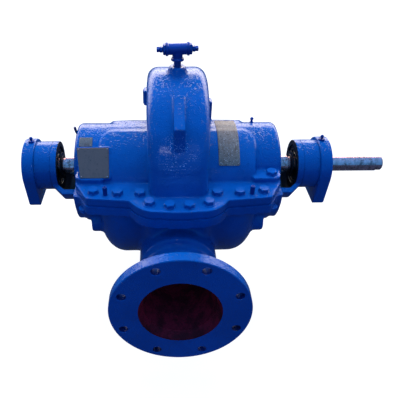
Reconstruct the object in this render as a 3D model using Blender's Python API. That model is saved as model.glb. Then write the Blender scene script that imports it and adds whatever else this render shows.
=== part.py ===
# Axially split, double suction centrifugal pump with a bare shaft.
# Metres. +X is the drive end, -Y the discharge side, +Z up.
# The origin is the centre of the foot's underside, below the shaft's axis.

import math

import bmesh
import bpy
from mathutils import Matrix, Vector

# Driving dimensions
SHAFT_HEIGHT = 0.425
GAP = 0.0003
HALF_GAP = GAP / 2

ARCH_CENTRE = (0.035, 0.030)
ARCH_RADIUS = 0.223
ARCH_HALF_WIDTH = 0.074
ARCH_EDGE = 0.026

LOBE_END = 0.265
LOBE_HALF_DEPTH = 0.133
LOBE_HEIGHT = 0.120
LOBE_TAPER = 0.055
LOBE_EDGE = 0.022
LOBE_BAND = 0.206
LOBE_STEP = 0.002
BOX_NECK_RADIUS = 0.060
BOX_END = 0.283

BOWL_HALF_DEPTH = 0.190
BOWL_HALF_HEIGHT = 0.221
BOWL_DROP = 0.040
BOWL_FLAT = 0.140
BOWL_EDGE_LENGTH = 0.065
BOWL_EDGE_SHARE = 0.295
END_BODY_RADIUS = 0.146
END_BODY_EDGE = 0.022

SPLIT_THICKNESS = 0.025
SPLIT_END = 0.265
SPLIT_END_DEPTH = 0.126
SPLIT_CORNER = (0.228, 0.186)
SPLIT_FRONT = 0.198
SPLIT_SHOULDER = 0.134
SPLIT_BULGE_HALF = 0.048
SPLIT_BULGE_FRONT = 0.247
SPLIT_BULGE_REAR = 0.300
SPLIT_REAR_SHOULDER = 0.112
LOWER_CORNER = (0.268, 0.152)

DISCHARGE_FACE = 0.380
DISCHARGE_DROP = 0.175
DISCHARGE_FLANGE_RADIUS = 0.170
DISCHARGE_FLANGE_THICKNESS = 0.028
DISCHARGE_BOLT_CIRCLE = 0.1475
DISCHARGE_BOLTS = 8
DISCHARGE_BORE = 0.100
DISCHARGE_NECK = 0.096
DISCHARGE_COLLAR = 0.113
DISCHARGE_COLLAR_FACE = 0.240

SUCTION_FACE = 0.340
SUCTION_DROP = 0.215
SUCTION_FLANGE_RADIUS = 0.1975
SUCTION_FLANGE_THICKNESS = 0.030
SUCTION_BOLT_CIRCLE = 0.175
SUCTION_BOLTS = 12
SUCTION_BORE = 0.125
SUCTION_NECK = 0.145
FLANGE_BOLT_HOLE = 0.011

VOLUTE_HALF_WIDTH = 0.088
VOLUTE_CENTRE = (0.015, -0.065)
VOLUTE_RADIUS = 0.222

FOOT_HALF_WIDTH = 0.118
FOOT_FRONT = -0.130
FOOT_REAR = 0.170
FOOT_THICKNESS = 0.026
FOOT_HOLE = 0.009
FOOT_HOLE_X = 0.099
FOOT_HOLE_FRONT = -0.108
FOOT_HOLE_REAR = 0.148
PEDESTAL_HALF_WIDTH = 0.076

SHAFT_BORE = 0.0285
SHAFT_RADIUS = 0.020
SHAFT_REAR_END = -0.406
DRIVE_RADIUS = 0.018
DRIVE_SHOULDER = 0.4190
DRIVE_END = 0.569
SLEEVE_RADIUS = 0.0230
SLEEVE_SPAN = (0.215, 0.306)
SLINGER_RADIUS = 0.034
SLINGER_SPAN = (0.3300, 0.3360)
KEY_SIZE = (0.060, 0.010, 0.008)

BRACKET_START = BOX_END + GAP
BRACKET_RADIUS = 0.100
BRACKET_WALL = 0.018
BRACKET_RIM_ANGLE = 18.0
HOUSING_RADIUS = 0.065
HOUSING_SPAN = (0.321, 0.380)
HOUSING_RECESS_RADIUS = 0.052
HOUSING_RECESS_FLOOR = 0.352
BEARING_BORE = 0.0206
BLOCK_SPAN = (HOUSING_SPAN[1] + GAP, 0.411)
BLOCK_RADIUS = 0.074
BLOCK_FOOT_HALF = 0.060
BLOCK_FOOT_DROP = 0.097
COVER_RADIUS = 0.052
COVER_THICKNESS = 0.006
COVER_BORE = SHAFT_RADIUS + 0.0008

VENT_DEPTH = 0.030
VENT_BOSS_TOP = 0.270
VENT_TEE_HEIGHT = 0.313
VENT_RUN = 0.067
TEE_BAND = 0.007
TEE_BRANCH_DROP = 0.027
VENT_TURN = 4.0
PIPE_RADIUS = 0.0105
NIPPLE_DEPTH = 0.012
TEE_RADIUS = 0.0145
COLLAR_RADIUS = 0.0170

PIN_RADIUS = 0.0045
PIN_FRONT = (0.180, 0.177)
PIN_REAR = (0.180, 0.170)
PIN_FRONT_RISE = 0.022
PIN_REAR_RISE = 0.014
PIN_DEPTH = 0.018

PLATE_CENTRE = (-0.2110, -0.1045, 0.0705)
PLATE_TILT = 40.0
PLATE_HALF_HEIGHT = 0.0385
PLATE_HALF_TOP = 0.0405
PLATE_HALF_FOOT = 0.0375
PLATE_MARGIN = 0.0035
PLATE_THICKNESS = 0.002
END_PAD_TOP = 0.041
END_PAD_INNER = 0.190
END_PAD_OUTER = 0.262
END_PAD_FRONT = 0.1355
END_PAD_REAR = 0.085
END_PAD_ROUND = 0.022
END_PAD_DRAFT = 0.0015
PEG_HEIGHT = 0.086
PEG_STUB = 0.0045
PEG_LENGTH = 0.034
PEG_LEAN = 0.006
PEG_RADIUS = 0.0027
KNOB_X = 0.200
PLATE_SEAT = 0.00045

ROUND = 40
MEDIUM = 28
SMALL = 16
TINY = 8

PAINT = (0.003, 0.082, 0.485)
PAINT_DARK = (0.002, 0.034, 0.240)
STEEL = (0.42, 0.43, 0.45)
PLATE = (0.20, 0.22, 0.26)


# Materials

def material(name, colour, roughness, metallic):
    made = bpy.data.materials.get(name)
    if made:
        return made
    made = bpy.data.materials.new(name)
    made.use_nodes = True
    made.diffuse_color = (*colour, 1.0)
    shader = made.node_tree.nodes["Principled BSDF"]
    shader.inputs["Base Color"].default_value = (*colour, 1.0)
    shader.inputs["Roughness"].default_value = roughness
    shader.inputs["Metallic"].default_value = metallic
    return made


def enamel():
    return material("blue_enamel", PAINT, 0.30, 0.0)


def fitting_enamel():
    return material("fitting_enamel", PAINT_DARK, 0.38, 0.0)


def bright_steel():
    return material("bright_steel", STEEL, 0.32, 1.0)


def plate_metal():
    return material("plate_metal", PLATE, 0.45, 0.8)


def cover_enamel():
    return material("cover_enamel", PAINT_DARK, 0.45, 0.0)


# Mesh tools

def clear_scene():
    for old in list(bpy.data.objects):
        bpy.data.objects.remove(old, do_unlink=True)


def add_object(name, mesh, finish, parent=None, smooth=True):
    piece = bpy.data.objects.new(name, mesh)
    bpy.context.scene.collection.objects.link(piece)
    mesh.materials.clear()
    mesh.materials.append(finish)
    if smooth:
        mesh.shade_smooth()
        mesh.set_sharp_from_angle(angle=math.radians(32))
    if parent:
        piece.parent = parent
    return piece


def mesh_from(points, faces, name="solid"):
    mesh = bpy.data.meshes.new(name)
    mesh.from_pydata([tuple(p) for p in points], [], faces)
    work = bmesh.new()
    work.from_mesh(mesh)
    bmesh.ops.recalc_face_normals(work, faces=work.faces)
    work.to_mesh(mesh)
    work.free()
    mesh.update()
    return mesh


def loft(rings, name="loft"):
    """Closed solid through rings of equal length, with flat end caps."""
    count = len(rings[0])
    points = [p for ring in rings for p in ring]
    faces = []
    for k in range(len(rings) - 1):
        for i in range(count):
            j = (i + 1) % count
            faces.append((k * count + i, k * count + j, (k + 1) * count + j, (k + 1) * count + i))
    faces.append(tuple(range(count)))
    faces.append(tuple(len(points) - count + i for i in range(count)))
    return mesh_from(points, faces, name)


def turned(profile, name="turned", sides=ROUND):
    """Solid of revolution about X through a list of (x, radius) points."""
    rings = []
    for x, r in profile:
        ring = []
        for i in range(sides):
            a = 2 * math.pi * i / sides
            ring.append((x, r * math.cos(a), r * math.sin(a)))
        rings.append(ring)
    return loft(rings, name)


def swept(section, start, end, steps, name="swept"):
    """Ring piece: a closed (x, radius) section swept about X between two angles in degrees."""
    rings = []
    for k in range(steps + 1):
        a = math.radians(start + (end - start) * k / steps)
        rings.append([(x, r * math.cos(a), r * math.sin(a)) for x, r in section])
    return loft(rings, name)


def tube(outer, inner, x0, x1, name="tube", sides=ROUND):
    """Plain ring about X, closed into one annular solid."""
    points = []
    faces = []
    for i in range(sides):
        a = 2 * math.pi * i / sides
        for x, r in ((x0, inner), (x0, outer), (x1, outer), (x1, inner)):
            points.append((x, r * math.cos(a), r * math.sin(a)))
    for i in range(sides):
        j = (i + 1) % sides
        for k in range(4):
            m = (k + 1) % 4
            faces.append((4 * i + k, 4 * j + k, 4 * j + m, 4 * i + m))
    return mesh_from(points, faces, name)


def extruded(outline, z0, z1, name="extruded"):
    """Prism over an outline of (x, y) points."""
    rings = [[(x, y, z) for x, y in outline] for z in (z0, z1)]
    return loft(rings, name)


def plate_x(outline, x0, x1, name="plate"):
    """Prism along X over an outline of (y, z) points."""
    rings = [[(x, y, z) for y, z in outline] for x in (x0, x1)]
    return loft(rings, name)


def block(low, high, name="block"):
    (x0, y0, z0), (x1, y1, z1) = low, high
    return extruded([(x0, y0), (x1, y0), (x1, y1), (x0, y1)], z0, z1, name)


def rod(start, end, r0, r1=None, sides=ROUND, name="rod"):
    """Round bar or cone from one point to another."""
    start = Vector(start)
    end = Vector(end)
    r1 = r0 if r1 is None else r1
    turn = Vector((1, 0, 0)).rotation_difference(end - start).to_matrix().to_4x4()
    mesh = turned([(0, r0), ((end - start).length, r1)], name, sides)
    mesh.transform(Matrix.Translation(start) @ turn)
    return mesh


def combine(base, others, operation):
    """Booleans a list of meshes onto a base mesh and returns the result."""
    target = bpy.data.objects.new("target", base)
    bpy.context.scene.collection.objects.link(target)
    tools = []
    for mesh in others:
        tool = bpy.data.objects.new("tool", mesh)
        bpy.context.scene.collection.objects.link(tool)
        step = target.modifiers.new("boolean", "BOOLEAN")
        step.operation = operation
        step.object = tool
        step.solver = "EXACT"
        tools.append(tool)
    bpy.context.view_layer.update()
    graph = bpy.context.evaluated_depsgraph_get()
    result = bpy.data.meshes.new_from_object(target.evaluated_get(graph))
    for old in [target] + tools:
        bpy.data.objects.remove(old, do_unlink=True)
    return result


def joined(base, *others):
    return combine(base, others, "UNION")


def cut(base, *others):
    return combine(base, others, "DIFFERENCE")


def mirrored(mesh):
    """Copy of a mesh reflected to the other end of the shaft."""
    twin = mesh.copy()
    twin.transform(Matrix.Scale(-1, 4, (1, 0, 0)))
    twin.flip_normals()
    return twin


# Shared outlines

def split_outline(corner_cut=True):
    """Outline of the split flange, from the quarter's points and its reflections."""
    def side(bulge, shoulder):
        reach = shoulder - SPLIT_BULGE_HALF
        blend = []
        for k in range(1, 8):
            t = k / 8
            ease = t * t * (3 - 2 * t)
            blend.append((shoulder - reach * t, SPLIT_FRONT + (bulge - SPLIT_FRONT) * ease))
        if corner_cut:
            outer = [(SPLIT_END, SPLIT_END_DEPTH), SPLIT_CORNER]
        else:
            outer = [LOWER_CORNER, (LOWER_CORNER[0] - 0.016, LOWER_CORNER[1] + 0.003), SPLIT_CORNER]
        tip = [(SPLIT_BULGE_HALF, bulge), (SPLIT_BULGE_HALF * 0.5, bulge + 0.003)]
        return outer + [(SPLIT_CORNER[0] - 0.006, SPLIT_FRONT), (shoulder, SPLIT_FRONT)] + blend + tip
    front = side(SPLIT_BULGE_FRONT, SPLIT_SHOULDER)
    rear = side(SPLIT_BULGE_REAR, SPLIT_REAR_SHOULDER)
    right = [(x, -y) for x, y in reversed(front)] + rear
    left = [(-x, y) for x, y in reversed(right)]
    return right + left


def circle_yz(centre, radius, sides=ROUND):
    turns = [2 * math.pi * i / sides for i in range(sides)]
    return [(centre[0] + radius * math.cos(a), centre[1] + radius * math.sin(a)) for a in turns]


def rounded_disc(centre, radius, half_width, edge, steps=4, name="disc"):
    """Disc about a line along X, its rim edges rounded by quarter circles."""
    stations = [(-half_width, radius - edge)]
    for k in range(1, steps + 1):
        a = math.pi / 2 * k / steps
        stations.append((-half_width + edge * (1 - math.cos(a)), radius - edge + edge * math.sin(a)))
    stations += [(-x, r) for x, r in reversed(stations)]
    rings = [[(x, y, z) for y, z in circle_yz(centre, r)] for x, r in stations]
    return loft(rings, name)


def above_split(mesh):
    far = 1.0
    return cut(mesh, block((-far, -far, -far), (far, far, HALF_GAP)))


def below_split(mesh):
    far = 1.0
    return cut(mesh, block((-far, -far, -HALF_GAP), (far, far, far)))


# Upper casing

def lobe_section(x):
    """Half depth and height of the lobes at a station along the shaft."""
    taper = 1 - LOBE_TAPER * max(0.0, abs(x) - ARCH_HALF_WIDTH) / (LOBE_END - ARCH_HALF_WIDTH)
    step = LOBE_STEP if abs(x) < LOBE_BAND else 0.0
    return LOBE_HALF_DEPTH * taper - step, LOBE_HEIGHT * taper - step


def lobe_mesh():
    """Both suction lobes: elliptic sections that taper to rounded ends."""
    stations = []
    for k in range(5):
        a = math.pi / 2 * k / 4
        stations.append((-LOBE_END + LOBE_EDGE * (1 - math.cos(a)), LOBE_EDGE * (1 - math.sin(a))))
    stations += [(-LOBE_BAND - 0.001, 0.0), (-LOBE_BAND + 0.001, 0.0), (-ARCH_HALF_WIDTH + 0.010, 0.0)]
    stations += [(-x, inset) for x, inset in reversed(stations)]
    rings = []
    for x, inset in stations:
        depth, height = lobe_section(x)
        ring = []
        for i in range(ROUND):
            a = 2 * math.pi * i / ROUND
            ring.append((x, (depth - inset) * math.cos(a), (height - inset) * math.sin(a)))
        rings.append(ring)
    return loft(rings, "lobes")


def front_rib_mesh():
    """Lifting rib on the arch's front, with a sloping top and an upright end face."""
    side = [(-0.050, 0.232), (-0.157, 0.190), (-0.162, 0.137), (-0.110, 0.137), (-0.040, 0.200)]
    return plate_x(side, -0.0125, 0.0165, "front_rib")


def arch_lug_meshes():
    left = block((-ARCH_HALF_WIDTH - 0.009, 0.040, 0.150), (-ARCH_HALF_WIDTH + 0.020, 0.075, 0.198))
    right = block((ARCH_HALF_WIDTH - 0.020, 0.045, 0.118), (ARCH_HALF_WIDTH + 0.006, 0.075, 0.172))
    return [left, right]


def vent_boss_mesh():
    return rod((0, VENT_DEPTH, ARCH_RADIUS), (0, VENT_DEPTH, VENT_BOSS_TOP), 0.030, 0.017, SMALL, "vent_boss")


def end_pad_outline(inset):
    """Plan of a bolt pad with its outer corner rounded."""
    outer = END_PAD_OUTER - inset
    front = END_PAD_FRONT - inset
    points = [(END_PAD_INNER, END_PAD_REAR), (outer, END_PAD_REAR)]
    for k in range(6):
        a = math.pi / 2 * k / 5
        turn = END_PAD_ROUND - inset
        points.append((outer - turn * (1 - math.cos(a)), front - turn * (1 - math.sin(a))))
    return points + [(END_PAD_INNER, front)]


def end_pad_meshes():
    """Raised bolt pads beside the lobes, at the four ends of the split flange."""
    pads = []
    for sx in (-1, 1):
        for sy in (-1, 1):
            rings = []
            for z, inset in ((HALF_GAP + 0.004, 0.0), (END_PAD_TOP, END_PAD_DRAFT)):
                rings.append([(sx * x, sy * y, z) for x, y in end_pad_outline(inset)])
            pads.append(loft(rings, "pad"))
    return pads


def plate_slab(margin, near, far):
    """Tilted slab on the left lobe, slightly narrower at its foot."""
    top = PLATE_HALF_TOP + margin
    foot = PLATE_HALF_FOOT + margin
    half = PLATE_HALF_HEIGHT + margin
    rings = [[(-top, y, half), (top, y, half), (foot, y, -half), (-foot, y, -half)] for y in (near, far)]
    slab = loft(rings, "plate_slab")
    place = Matrix.Translation(PLATE_CENTRE) @ Matrix.Rotation(math.radians(-PLATE_TILT), 4, "X")
    slab.transform(place)
    return slab


def upper_casing(parent):
    flange = extruded(split_outline(), -0.010, SPLIT_THICKNESS, "upper_flange")
    arch = rounded_disc(ARCH_CENTRE, ARCH_RADIUS, ARCH_HALF_WIDTH, ARCH_EDGE)
    necks = turned([(-BOX_END, BOX_NECK_RADIUS), (BOX_END, BOX_NECK_RADIUS)], "necks", MEDIUM)
    body = joined(arch, lobe_mesh(), necks, vent_boss_mesh(), front_rib_mesh(), *arch_lug_meshes())
    body = above_split(joined(body, flange, *end_pad_meshes(), plate_slab(PLATE_MARGIN, 0, 0.030)))
    bore = turned([(-1, SHAFT_BORE), (1, SHAFT_BORE)], "bore", MEDIUM)
    hole_floor = VENT_BOSS_TOP - NIPPLE_DEPTH - GAP
    vent_hole = rod((0, VENT_DEPTH, hole_floor), (0, VENT_DEPTH, 0.30), PIPE_RADIUS + GAP, None, SMALL)
    body = cut(body, bore, vent_hole, *pin_holes())
    return add_object("upper_casing", body, enamel(), parent)


# Lower casing

def bowl_mesh():
    """Suction bowl: elliptic sections whose ends turn in as quarter ellipses."""
    half = []
    steps = 8
    for k in range(steps + 1):
        a = math.pi / 2 * k / steps
        half.append((BOWL_FLAT + BOWL_EDGE_LENGTH * math.cos(a), 1 - BOWL_EDGE_SHARE * (1 - math.sin(a))))
    stations = [(-x, share) for x, share in half] + list(reversed(half))
    rings = []
    for x, share in stations:
        ring = []
        for i in range(ROUND):
            a = 2 * math.pi * i / ROUND
            height = BOWL_HALF_HEIGHT * math.sin(a) - BOWL_DROP
            ring.append((x, share * BOWL_HALF_DEPTH * math.cos(a), share * height))
        rings.append(ring)
    return loft(rings, "bowl")


def end_bodies_mesh():
    edge = END_BODY_EDGE
    half = [(BOX_END, END_BODY_RADIUS - edge)]
    for k in range(1, 4):
        a = math.pi / 2 * k / 3
        half.append((BOX_END - edge * (1 - math.cos(a)), END_BODY_RADIUS - edge * (1 - math.sin(a))))
    profile = [(-x, r) for x, r in half] + list(reversed(half))
    return turned(profile, "end_bodies")


def branch(profile, axis, name):
    """Turned solid about a line along Y at height axis, through (y, radius) points."""
    rings = []
    for y, r in profile:
        turns = [2 * math.pi * i / ROUND for i in range(ROUND)]
        rings.append([(r * math.cos(a), y, axis + r * math.sin(a)) for a in turns])
    return loft(rings, name)


def discharge_mesh():
    """Discharge flange, necked branch and the collar where it leaves the volute."""
    face = -DISCHARGE_FACE
    back = face + DISCHARGE_FLANGE_THICKNESS
    collar = -DISCHARGE_COLLAR_FACE
    profile = [(face, DISCHARGE_FLANGE_RADIUS), (back, DISCHARGE_FLANGE_RADIUS), (back, DISCHARGE_NECK + 0.014),
               (back + 0.005, DISCHARGE_NECK + 0.005), (back + 0.014, DISCHARGE_NECK),
               (collar - 0.018, DISCHARGE_NECK), (collar - 0.006, DISCHARGE_NECK + 0.006),
               (collar, DISCHARGE_COLLAR - 0.003), (collar + 0.004, DISCHARGE_COLLAR), (-0.083, DISCHARGE_COLLAR)]
    return branch(profile, -DISCHARGE_DROP, "discharge")


def discharge_cutters():
    """Tapered discharge passage and its flange's bolt holes."""
    axis = -DISCHARGE_DROP
    stations = [(-DISCHARGE_FACE - 0.01, DISCHARGE_BORE), (-DISCHARGE_FACE + 0.006, DISCHARGE_BORE),
                (-0.352, 0.090), (-0.310, 0.081), (-0.105, 0.074)]
    tools = [branch(stations, axis, "discharge_bore")]
    back = -DISCHARGE_FACE + DISCHARGE_FLANGE_THICKNESS
    for k in range(DISCHARGE_BOLTS):
        a = 2 * math.pi * (k + 0.5) / DISCHARGE_BOLTS
        x = DISCHARGE_BOLT_CIRCLE * math.cos(a)
        z = axis + DISCHARGE_BOLT_CIRCLE * math.sin(a)
        tools.append(rod((x, -DISCHARGE_FACE - 0.01, z), (x, back + 0.01, z), FLANGE_BOLT_HOLE, None, 12))
    return tools


def suction_meshes():
    """Rear suction branch: a round neck that widens to meet both lobes."""
    axis = -SUCTION_DROP
    back = SUCTION_FACE - SUCTION_FLANGE_THICKNESS
    stations = [(back + 0.01, SUCTION_NECK, SUCTION_NECK, axis, 2.0), (0.270, SUCTION_NECK, SUCTION_NECK, axis, 2.0),
                (0.215, 0.160, 0.146, axis + 0.006, 2.2), (0.150, 0.186, 0.132, axis + 0.022, 2.6),
                (0.090, 0.194, 0.108, axis + 0.045, 2.8), (0.020, 0.180, 0.070, axis + 0.060, 2.8)]
    rings = []
    for y, half_x, half_z, middle, power in stations:
        ring = []
        for i in range(ROUND):
            a = 2 * math.pi * i / ROUND
            c = math.cos(a)
            s = math.sin(a)
            size = (abs(c) ** power + abs(s) ** power) ** (-1 / power)
            ring.append((half_x * c * size, y, middle + half_z * s * size))
        rings.append(ring)
    flange = rod((0, back, axis), (0, SUCTION_FACE, axis), SUCTION_FLANGE_RADIUS)
    return [loft(rings, "suction_neck"), flange]


def suction_cutters():
    axis = -SUCTION_DROP
    back = SUCTION_FACE - SUCTION_FLANGE_THICKNESS
    tools = [rod((0, 0.140, axis), (0, SUCTION_FACE + 0.01, axis), 0.116, SUCTION_BORE)]
    for k in range(SUCTION_BOLTS):
        a = 2 * math.pi * (k + 0.5) / SUCTION_BOLTS
        x = SUCTION_BOLT_CIRCLE * math.cos(a)
        z = axis + SUCTION_BOLT_CIRCLE * math.sin(a)
        tools.append(rod((x, back - 0.01, z), (x, SUCTION_FACE + 0.01, z), FLANGE_BOLT_HOLE, None, TINY))
    return tools


def foot_meshes():
    floor = -SHAFT_HEIGHT
    plate = block((-FOOT_HALF_WIDTH, FOOT_FRONT, floor), (FOOT_HALF_WIDTH, FOOT_REAR, floor + FOOT_THICKNESS))
    column = block((-PEDESTAL_HALF_WIDTH, FOOT_FRONT + 0.018, floor + 0.010),
                   (PEDESTAL_HALF_WIDTH, FOOT_REAR - 0.018, -0.150))
    return [plate, column]


def foot_places():
    return [(sx * FOOT_HOLE_X, y) for sx in (-1, 1) for y in (FOOT_HOLE_FRONT, FOOT_HOLE_REAR)]


def foot_cutters():
    floor = -SHAFT_HEIGHT
    return [rod((x, y, floor - 0.01), (x, y, floor + 0.05), FOOT_HOLE, None, TINY) for x, y in foot_places()]


def casing_ear_meshes():
    """Round-ended jacking ears low on both ends of the bowl."""
    ears = []
    for sx in (-1, 1):
        ears.append(rod((sx * 0.120, -0.115, -0.104), (sx * 0.222, -0.115, -0.104), 0.030, None, SMALL))
    return ears


def lower_casing(parent):
    flange = extruded(split_outline(False), -SPLIT_THICKNESS, 0.010, "lower_flange")
    volute = rounded_disc(VOLUTE_CENTRE, VOLUTE_RADIUS, VOLUTE_HALF_WIDTH, 0.030)
    body = below_split(joined(bowl_mesh(), end_bodies_mesh(), volute, flange))
    body = joined(body, *foot_meshes(), *suction_meshes(), discharge_mesh(), *casing_ear_meshes())
    bore = turned([(-1, SHAFT_BORE), (1, SHAFT_BORE)], "bore", MEDIUM)
    body = cut(body, bore, *discharge_cutters(), *suction_cutters(), *foot_cutters(), *pin_holes())
    return add_object("lower_casing", body, enamel(), parent)


# Split flange pins

def pin_places():
    front = [(sx * PIN_FRONT[0], -PIN_FRONT[1], PIN_FRONT_RISE) for sx in (-1, 1)]
    rear = [(sx * PIN_REAR[0], PIN_REAR[1], PIN_REAR_RISE) for sx in (-1, 1)]
    return front + rear


def pin_holes():
    return [rod((x, y, -PIN_DEPTH), (x, y, 0.10), PIN_RADIUS + GAP, None, TINY) for x, y, rise in pin_places()]


def split_pins(parent):
    names = ("front_left", "front_right", "rear_left", "rear_right")
    for name, (x, y, rise) in zip(names, pin_places()):
        mesh = rod((x, y, -PIN_DEPTH + GAP), (x, y, SPLIT_THICKNESS + rise), PIN_RADIUS, None, TINY)
        add_object("split_pin_" + name, mesh, fitting_enamel(), parent)


# Bearing brackets and housings

def bracket_mesh():
    """Trough arm under the shaft that ends in the round bearing housing."""
    outer = BRACKET_RADIUS
    inner = outer - BRACKET_WALL
    wall = HOUSING_RADIUS - HOUSING_RECESS_RADIUS
    start = BRACKET_START
    section = [(start, outer), (0.303, outer), (0.338, HOUSING_RADIUS - 0.0004), (0.346, HOUSING_RADIUS - 0.0004),
               (0.346, HOUSING_RADIUS - wall + 0.003), (0.333, HOUSING_RADIUS - wall + 0.003), (0.300, inner),
               (start, inner)]
    trough = swept(section, 180 + BRACKET_RIM_ANGLE, 360 - BRACKET_RIM_ANGLE, 14, "trough")
    drum = turned([(HOUSING_SPAN[0], HOUSING_RADIUS), (HOUSING_SPAN[1], HOUSING_RADIUS)], "drum", MEDIUM)
    recess = turned([(HOUSING_SPAN[0] - 0.01, HOUSING_RECESS_RADIUS), (HOUSING_RECESS_FLOOR, HOUSING_RECESS_RADIUS)],
                    "recess", MEDIUM)
    bore = turned([(HOUSING_RECESS_FLOOR - 0.01, BEARING_BORE), (0.5, BEARING_BORE)], "bore", MEDIUM)
    return cut(joined(drum, trough), recess, bore)


def block_outline():
    """Round top that runs down to a narrower flat foot."""
    points = []
    steps = 18
    for k in range(steps + 1):
        a = math.radians(-8) + math.radians(196) * k / steps
        points.append((BLOCK_RADIUS * math.cos(a), BLOCK_RADIUS * math.sin(a)))
    points.append((-BLOCK_FOOT_HALF, -BLOCK_FOOT_DROP + 0.006))
    points.append((-BLOCK_FOOT_HALF + 0.006, -BLOCK_FOOT_DROP))
    points.append((BLOCK_FOOT_HALF - 0.006, -BLOCK_FOOT_DROP))
    points.append((BLOCK_FOOT_HALF, -BLOCK_FOOT_DROP + 0.006))
    return points


def bearing_block_mesh():
    body = plate_x(block_outline(), BLOCK_SPAN[0], BLOCK_SPAN[1], "bearing_block")
    return cut(body, turned([(0.3, BEARING_BORE), (0.5, BEARING_BORE)], "bore", MEDIUM), nipple_hole())


def nipple_hole():
    x = (BLOCK_SPAN[0] + BLOCK_SPAN[1]) / 2
    return rod((x, 0, BLOCK_RADIUS - 0.006), (x, 0, BLOCK_RADIUS + 0.01), 0.003 + GAP, None, TINY)


def grease_nipple_mesh():
    x = (BLOCK_SPAN[0] + BLOCK_SPAN[1]) / 2
    seat = BLOCK_RADIUS + GAP
    stem = rod((x, 0, BLOCK_RADIUS - 0.005), (x, 0, seat + 0.012), 0.003, None, TINY)
    hexagon = rod((x, 0, seat), (x, 0, seat + 0.005), 0.0052, None, 6)
    head = rod((x, 0, seat + 0.0105), (x, 0, seat + 0.0165), 0.0042, 0.0028, TINY)
    return joined(stem, hexagon, head)


def gland_mesh():
    """Gland follower: a nose in the stuffing box and an oval flange outside it."""
    x0 = BOX_END + GAP
    nose = turned([(BOX_END - 0.018, SHAFT_BORE - 0.0005), (x0 + 0.002, SHAFT_BORE - 0.0005)], "nose", MEDIUM)
    oval = []
    for i in range(MEDIUM):
        a = 2 * math.pi * i / MEDIUM
        oval.append((0.052 * math.cos(a), 0.036 * math.sin(a)))
    flange = plate_x(oval, x0, x0 + 0.0075)
    hole = turned([(0.2, SLEEVE_RADIUS + 0.0005), (0.4, SLEEVE_RADIUS + 0.0005)], "hole", MEDIUM)
    return cut(joined(nose, flange), hole)


def bearing_ends(parent):
    bracket = bracket_mesh()
    bearing_block = bearing_block_mesh()
    nipple = grease_nipple_mesh()
    gland = gland_mesh()
    floor = HOUSING_RECESS_FLOOR - GAP
    inner_cover = tube(HOUSING_RECESS_RADIUS - GAP, COVER_BORE, floor - COVER_THICKNESS, floor, "inner_cover", MEDIUM)
    face = BLOCK_SPAN[1] + GAP
    open_cover = tube(COVER_RADIUS, COVER_BORE, face, face + COVER_THICKNESS, "end_cover", MEDIUM)
    blind_cover = turned([(face, COVER_RADIUS), (face + COVER_THICKNESS, COVER_RADIUS)], "end_cover", MEDIUM)
    for side in ("right", "left"):
        flip = mirrored if side == "left" else (lambda mesh: mesh.copy())
        add_object("bearing_bracket_" + side, flip(bracket), enamel(), parent)
        add_object("bearing_block_" + side, flip(bearing_block), enamel(), parent)
        add_object("grease_nipple_" + side, flip(nipple), fitting_enamel(), parent)
        add_object("gland_follower_" + side, flip(gland), cover_enamel(), parent)
        add_object("inner_cover_" + side, flip(inner_cover), cover_enamel(), parent)
        cover = blind_cover if side == "left" else open_cover
        add_object("end_cover_" + side, flip(cover), enamel(), parent)


# Rotor

def shaft(parent):
    profile = [(SHAFT_REAR_END, SHAFT_RADIUS), (DRIVE_SHOULDER, SHAFT_RADIUS),
               (DRIVE_SHOULDER + 0.001, DRIVE_RADIUS), (DRIVE_END - 0.002, DRIVE_RADIUS),
               (DRIVE_END, DRIVE_RADIUS - 0.002)]
    length, width, height = KEY_SIZE
    slot = block((DRIVE_END - 0.012 - length, -width / 2 - GAP, -DRIVE_RADIUS - 0.01),
                 (DRIVE_END - 0.012, width / 2 + GAP, -DRIVE_RADIUS + height / 2 + GAP))
    add_object("shaft", cut(turned(profile, "shaft", MEDIUM), slot), bright_steel(), parent)
    key = block((DRIVE_END - 0.012 - length + GAP, -width / 2, -DRIVE_RADIUS - height / 2),
                (DRIVE_END - 0.012 - GAP, width / 2, -DRIVE_RADIUS + height / 2))
    add_object("shaft_key", key, bright_steel(), parent, smooth=False)


def shaft_rings(parent):
    sleeve = tube(SLEEVE_RADIUS, SHAFT_RADIUS + GAP, SLEEVE_SPAN[0], SLEEVE_SPAN[1], "sleeve", MEDIUM)
    slinger = tube(SLINGER_RADIUS, SHAFT_RADIUS + GAP, SLINGER_SPAN[0], SLINGER_SPAN[1], "slinger", MEDIUM)
    for side in ("right", "left"):
        flip = mirrored if side == "left" else (lambda mesh: mesh.copy())
        add_object("shaft_sleeve_" + side, flip(sleeve), bright_steel(), parent)
        add_object("slinger_ring_" + side, flip(slinger), cover_enamel(), parent)


# Vent pipework on the arch

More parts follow.
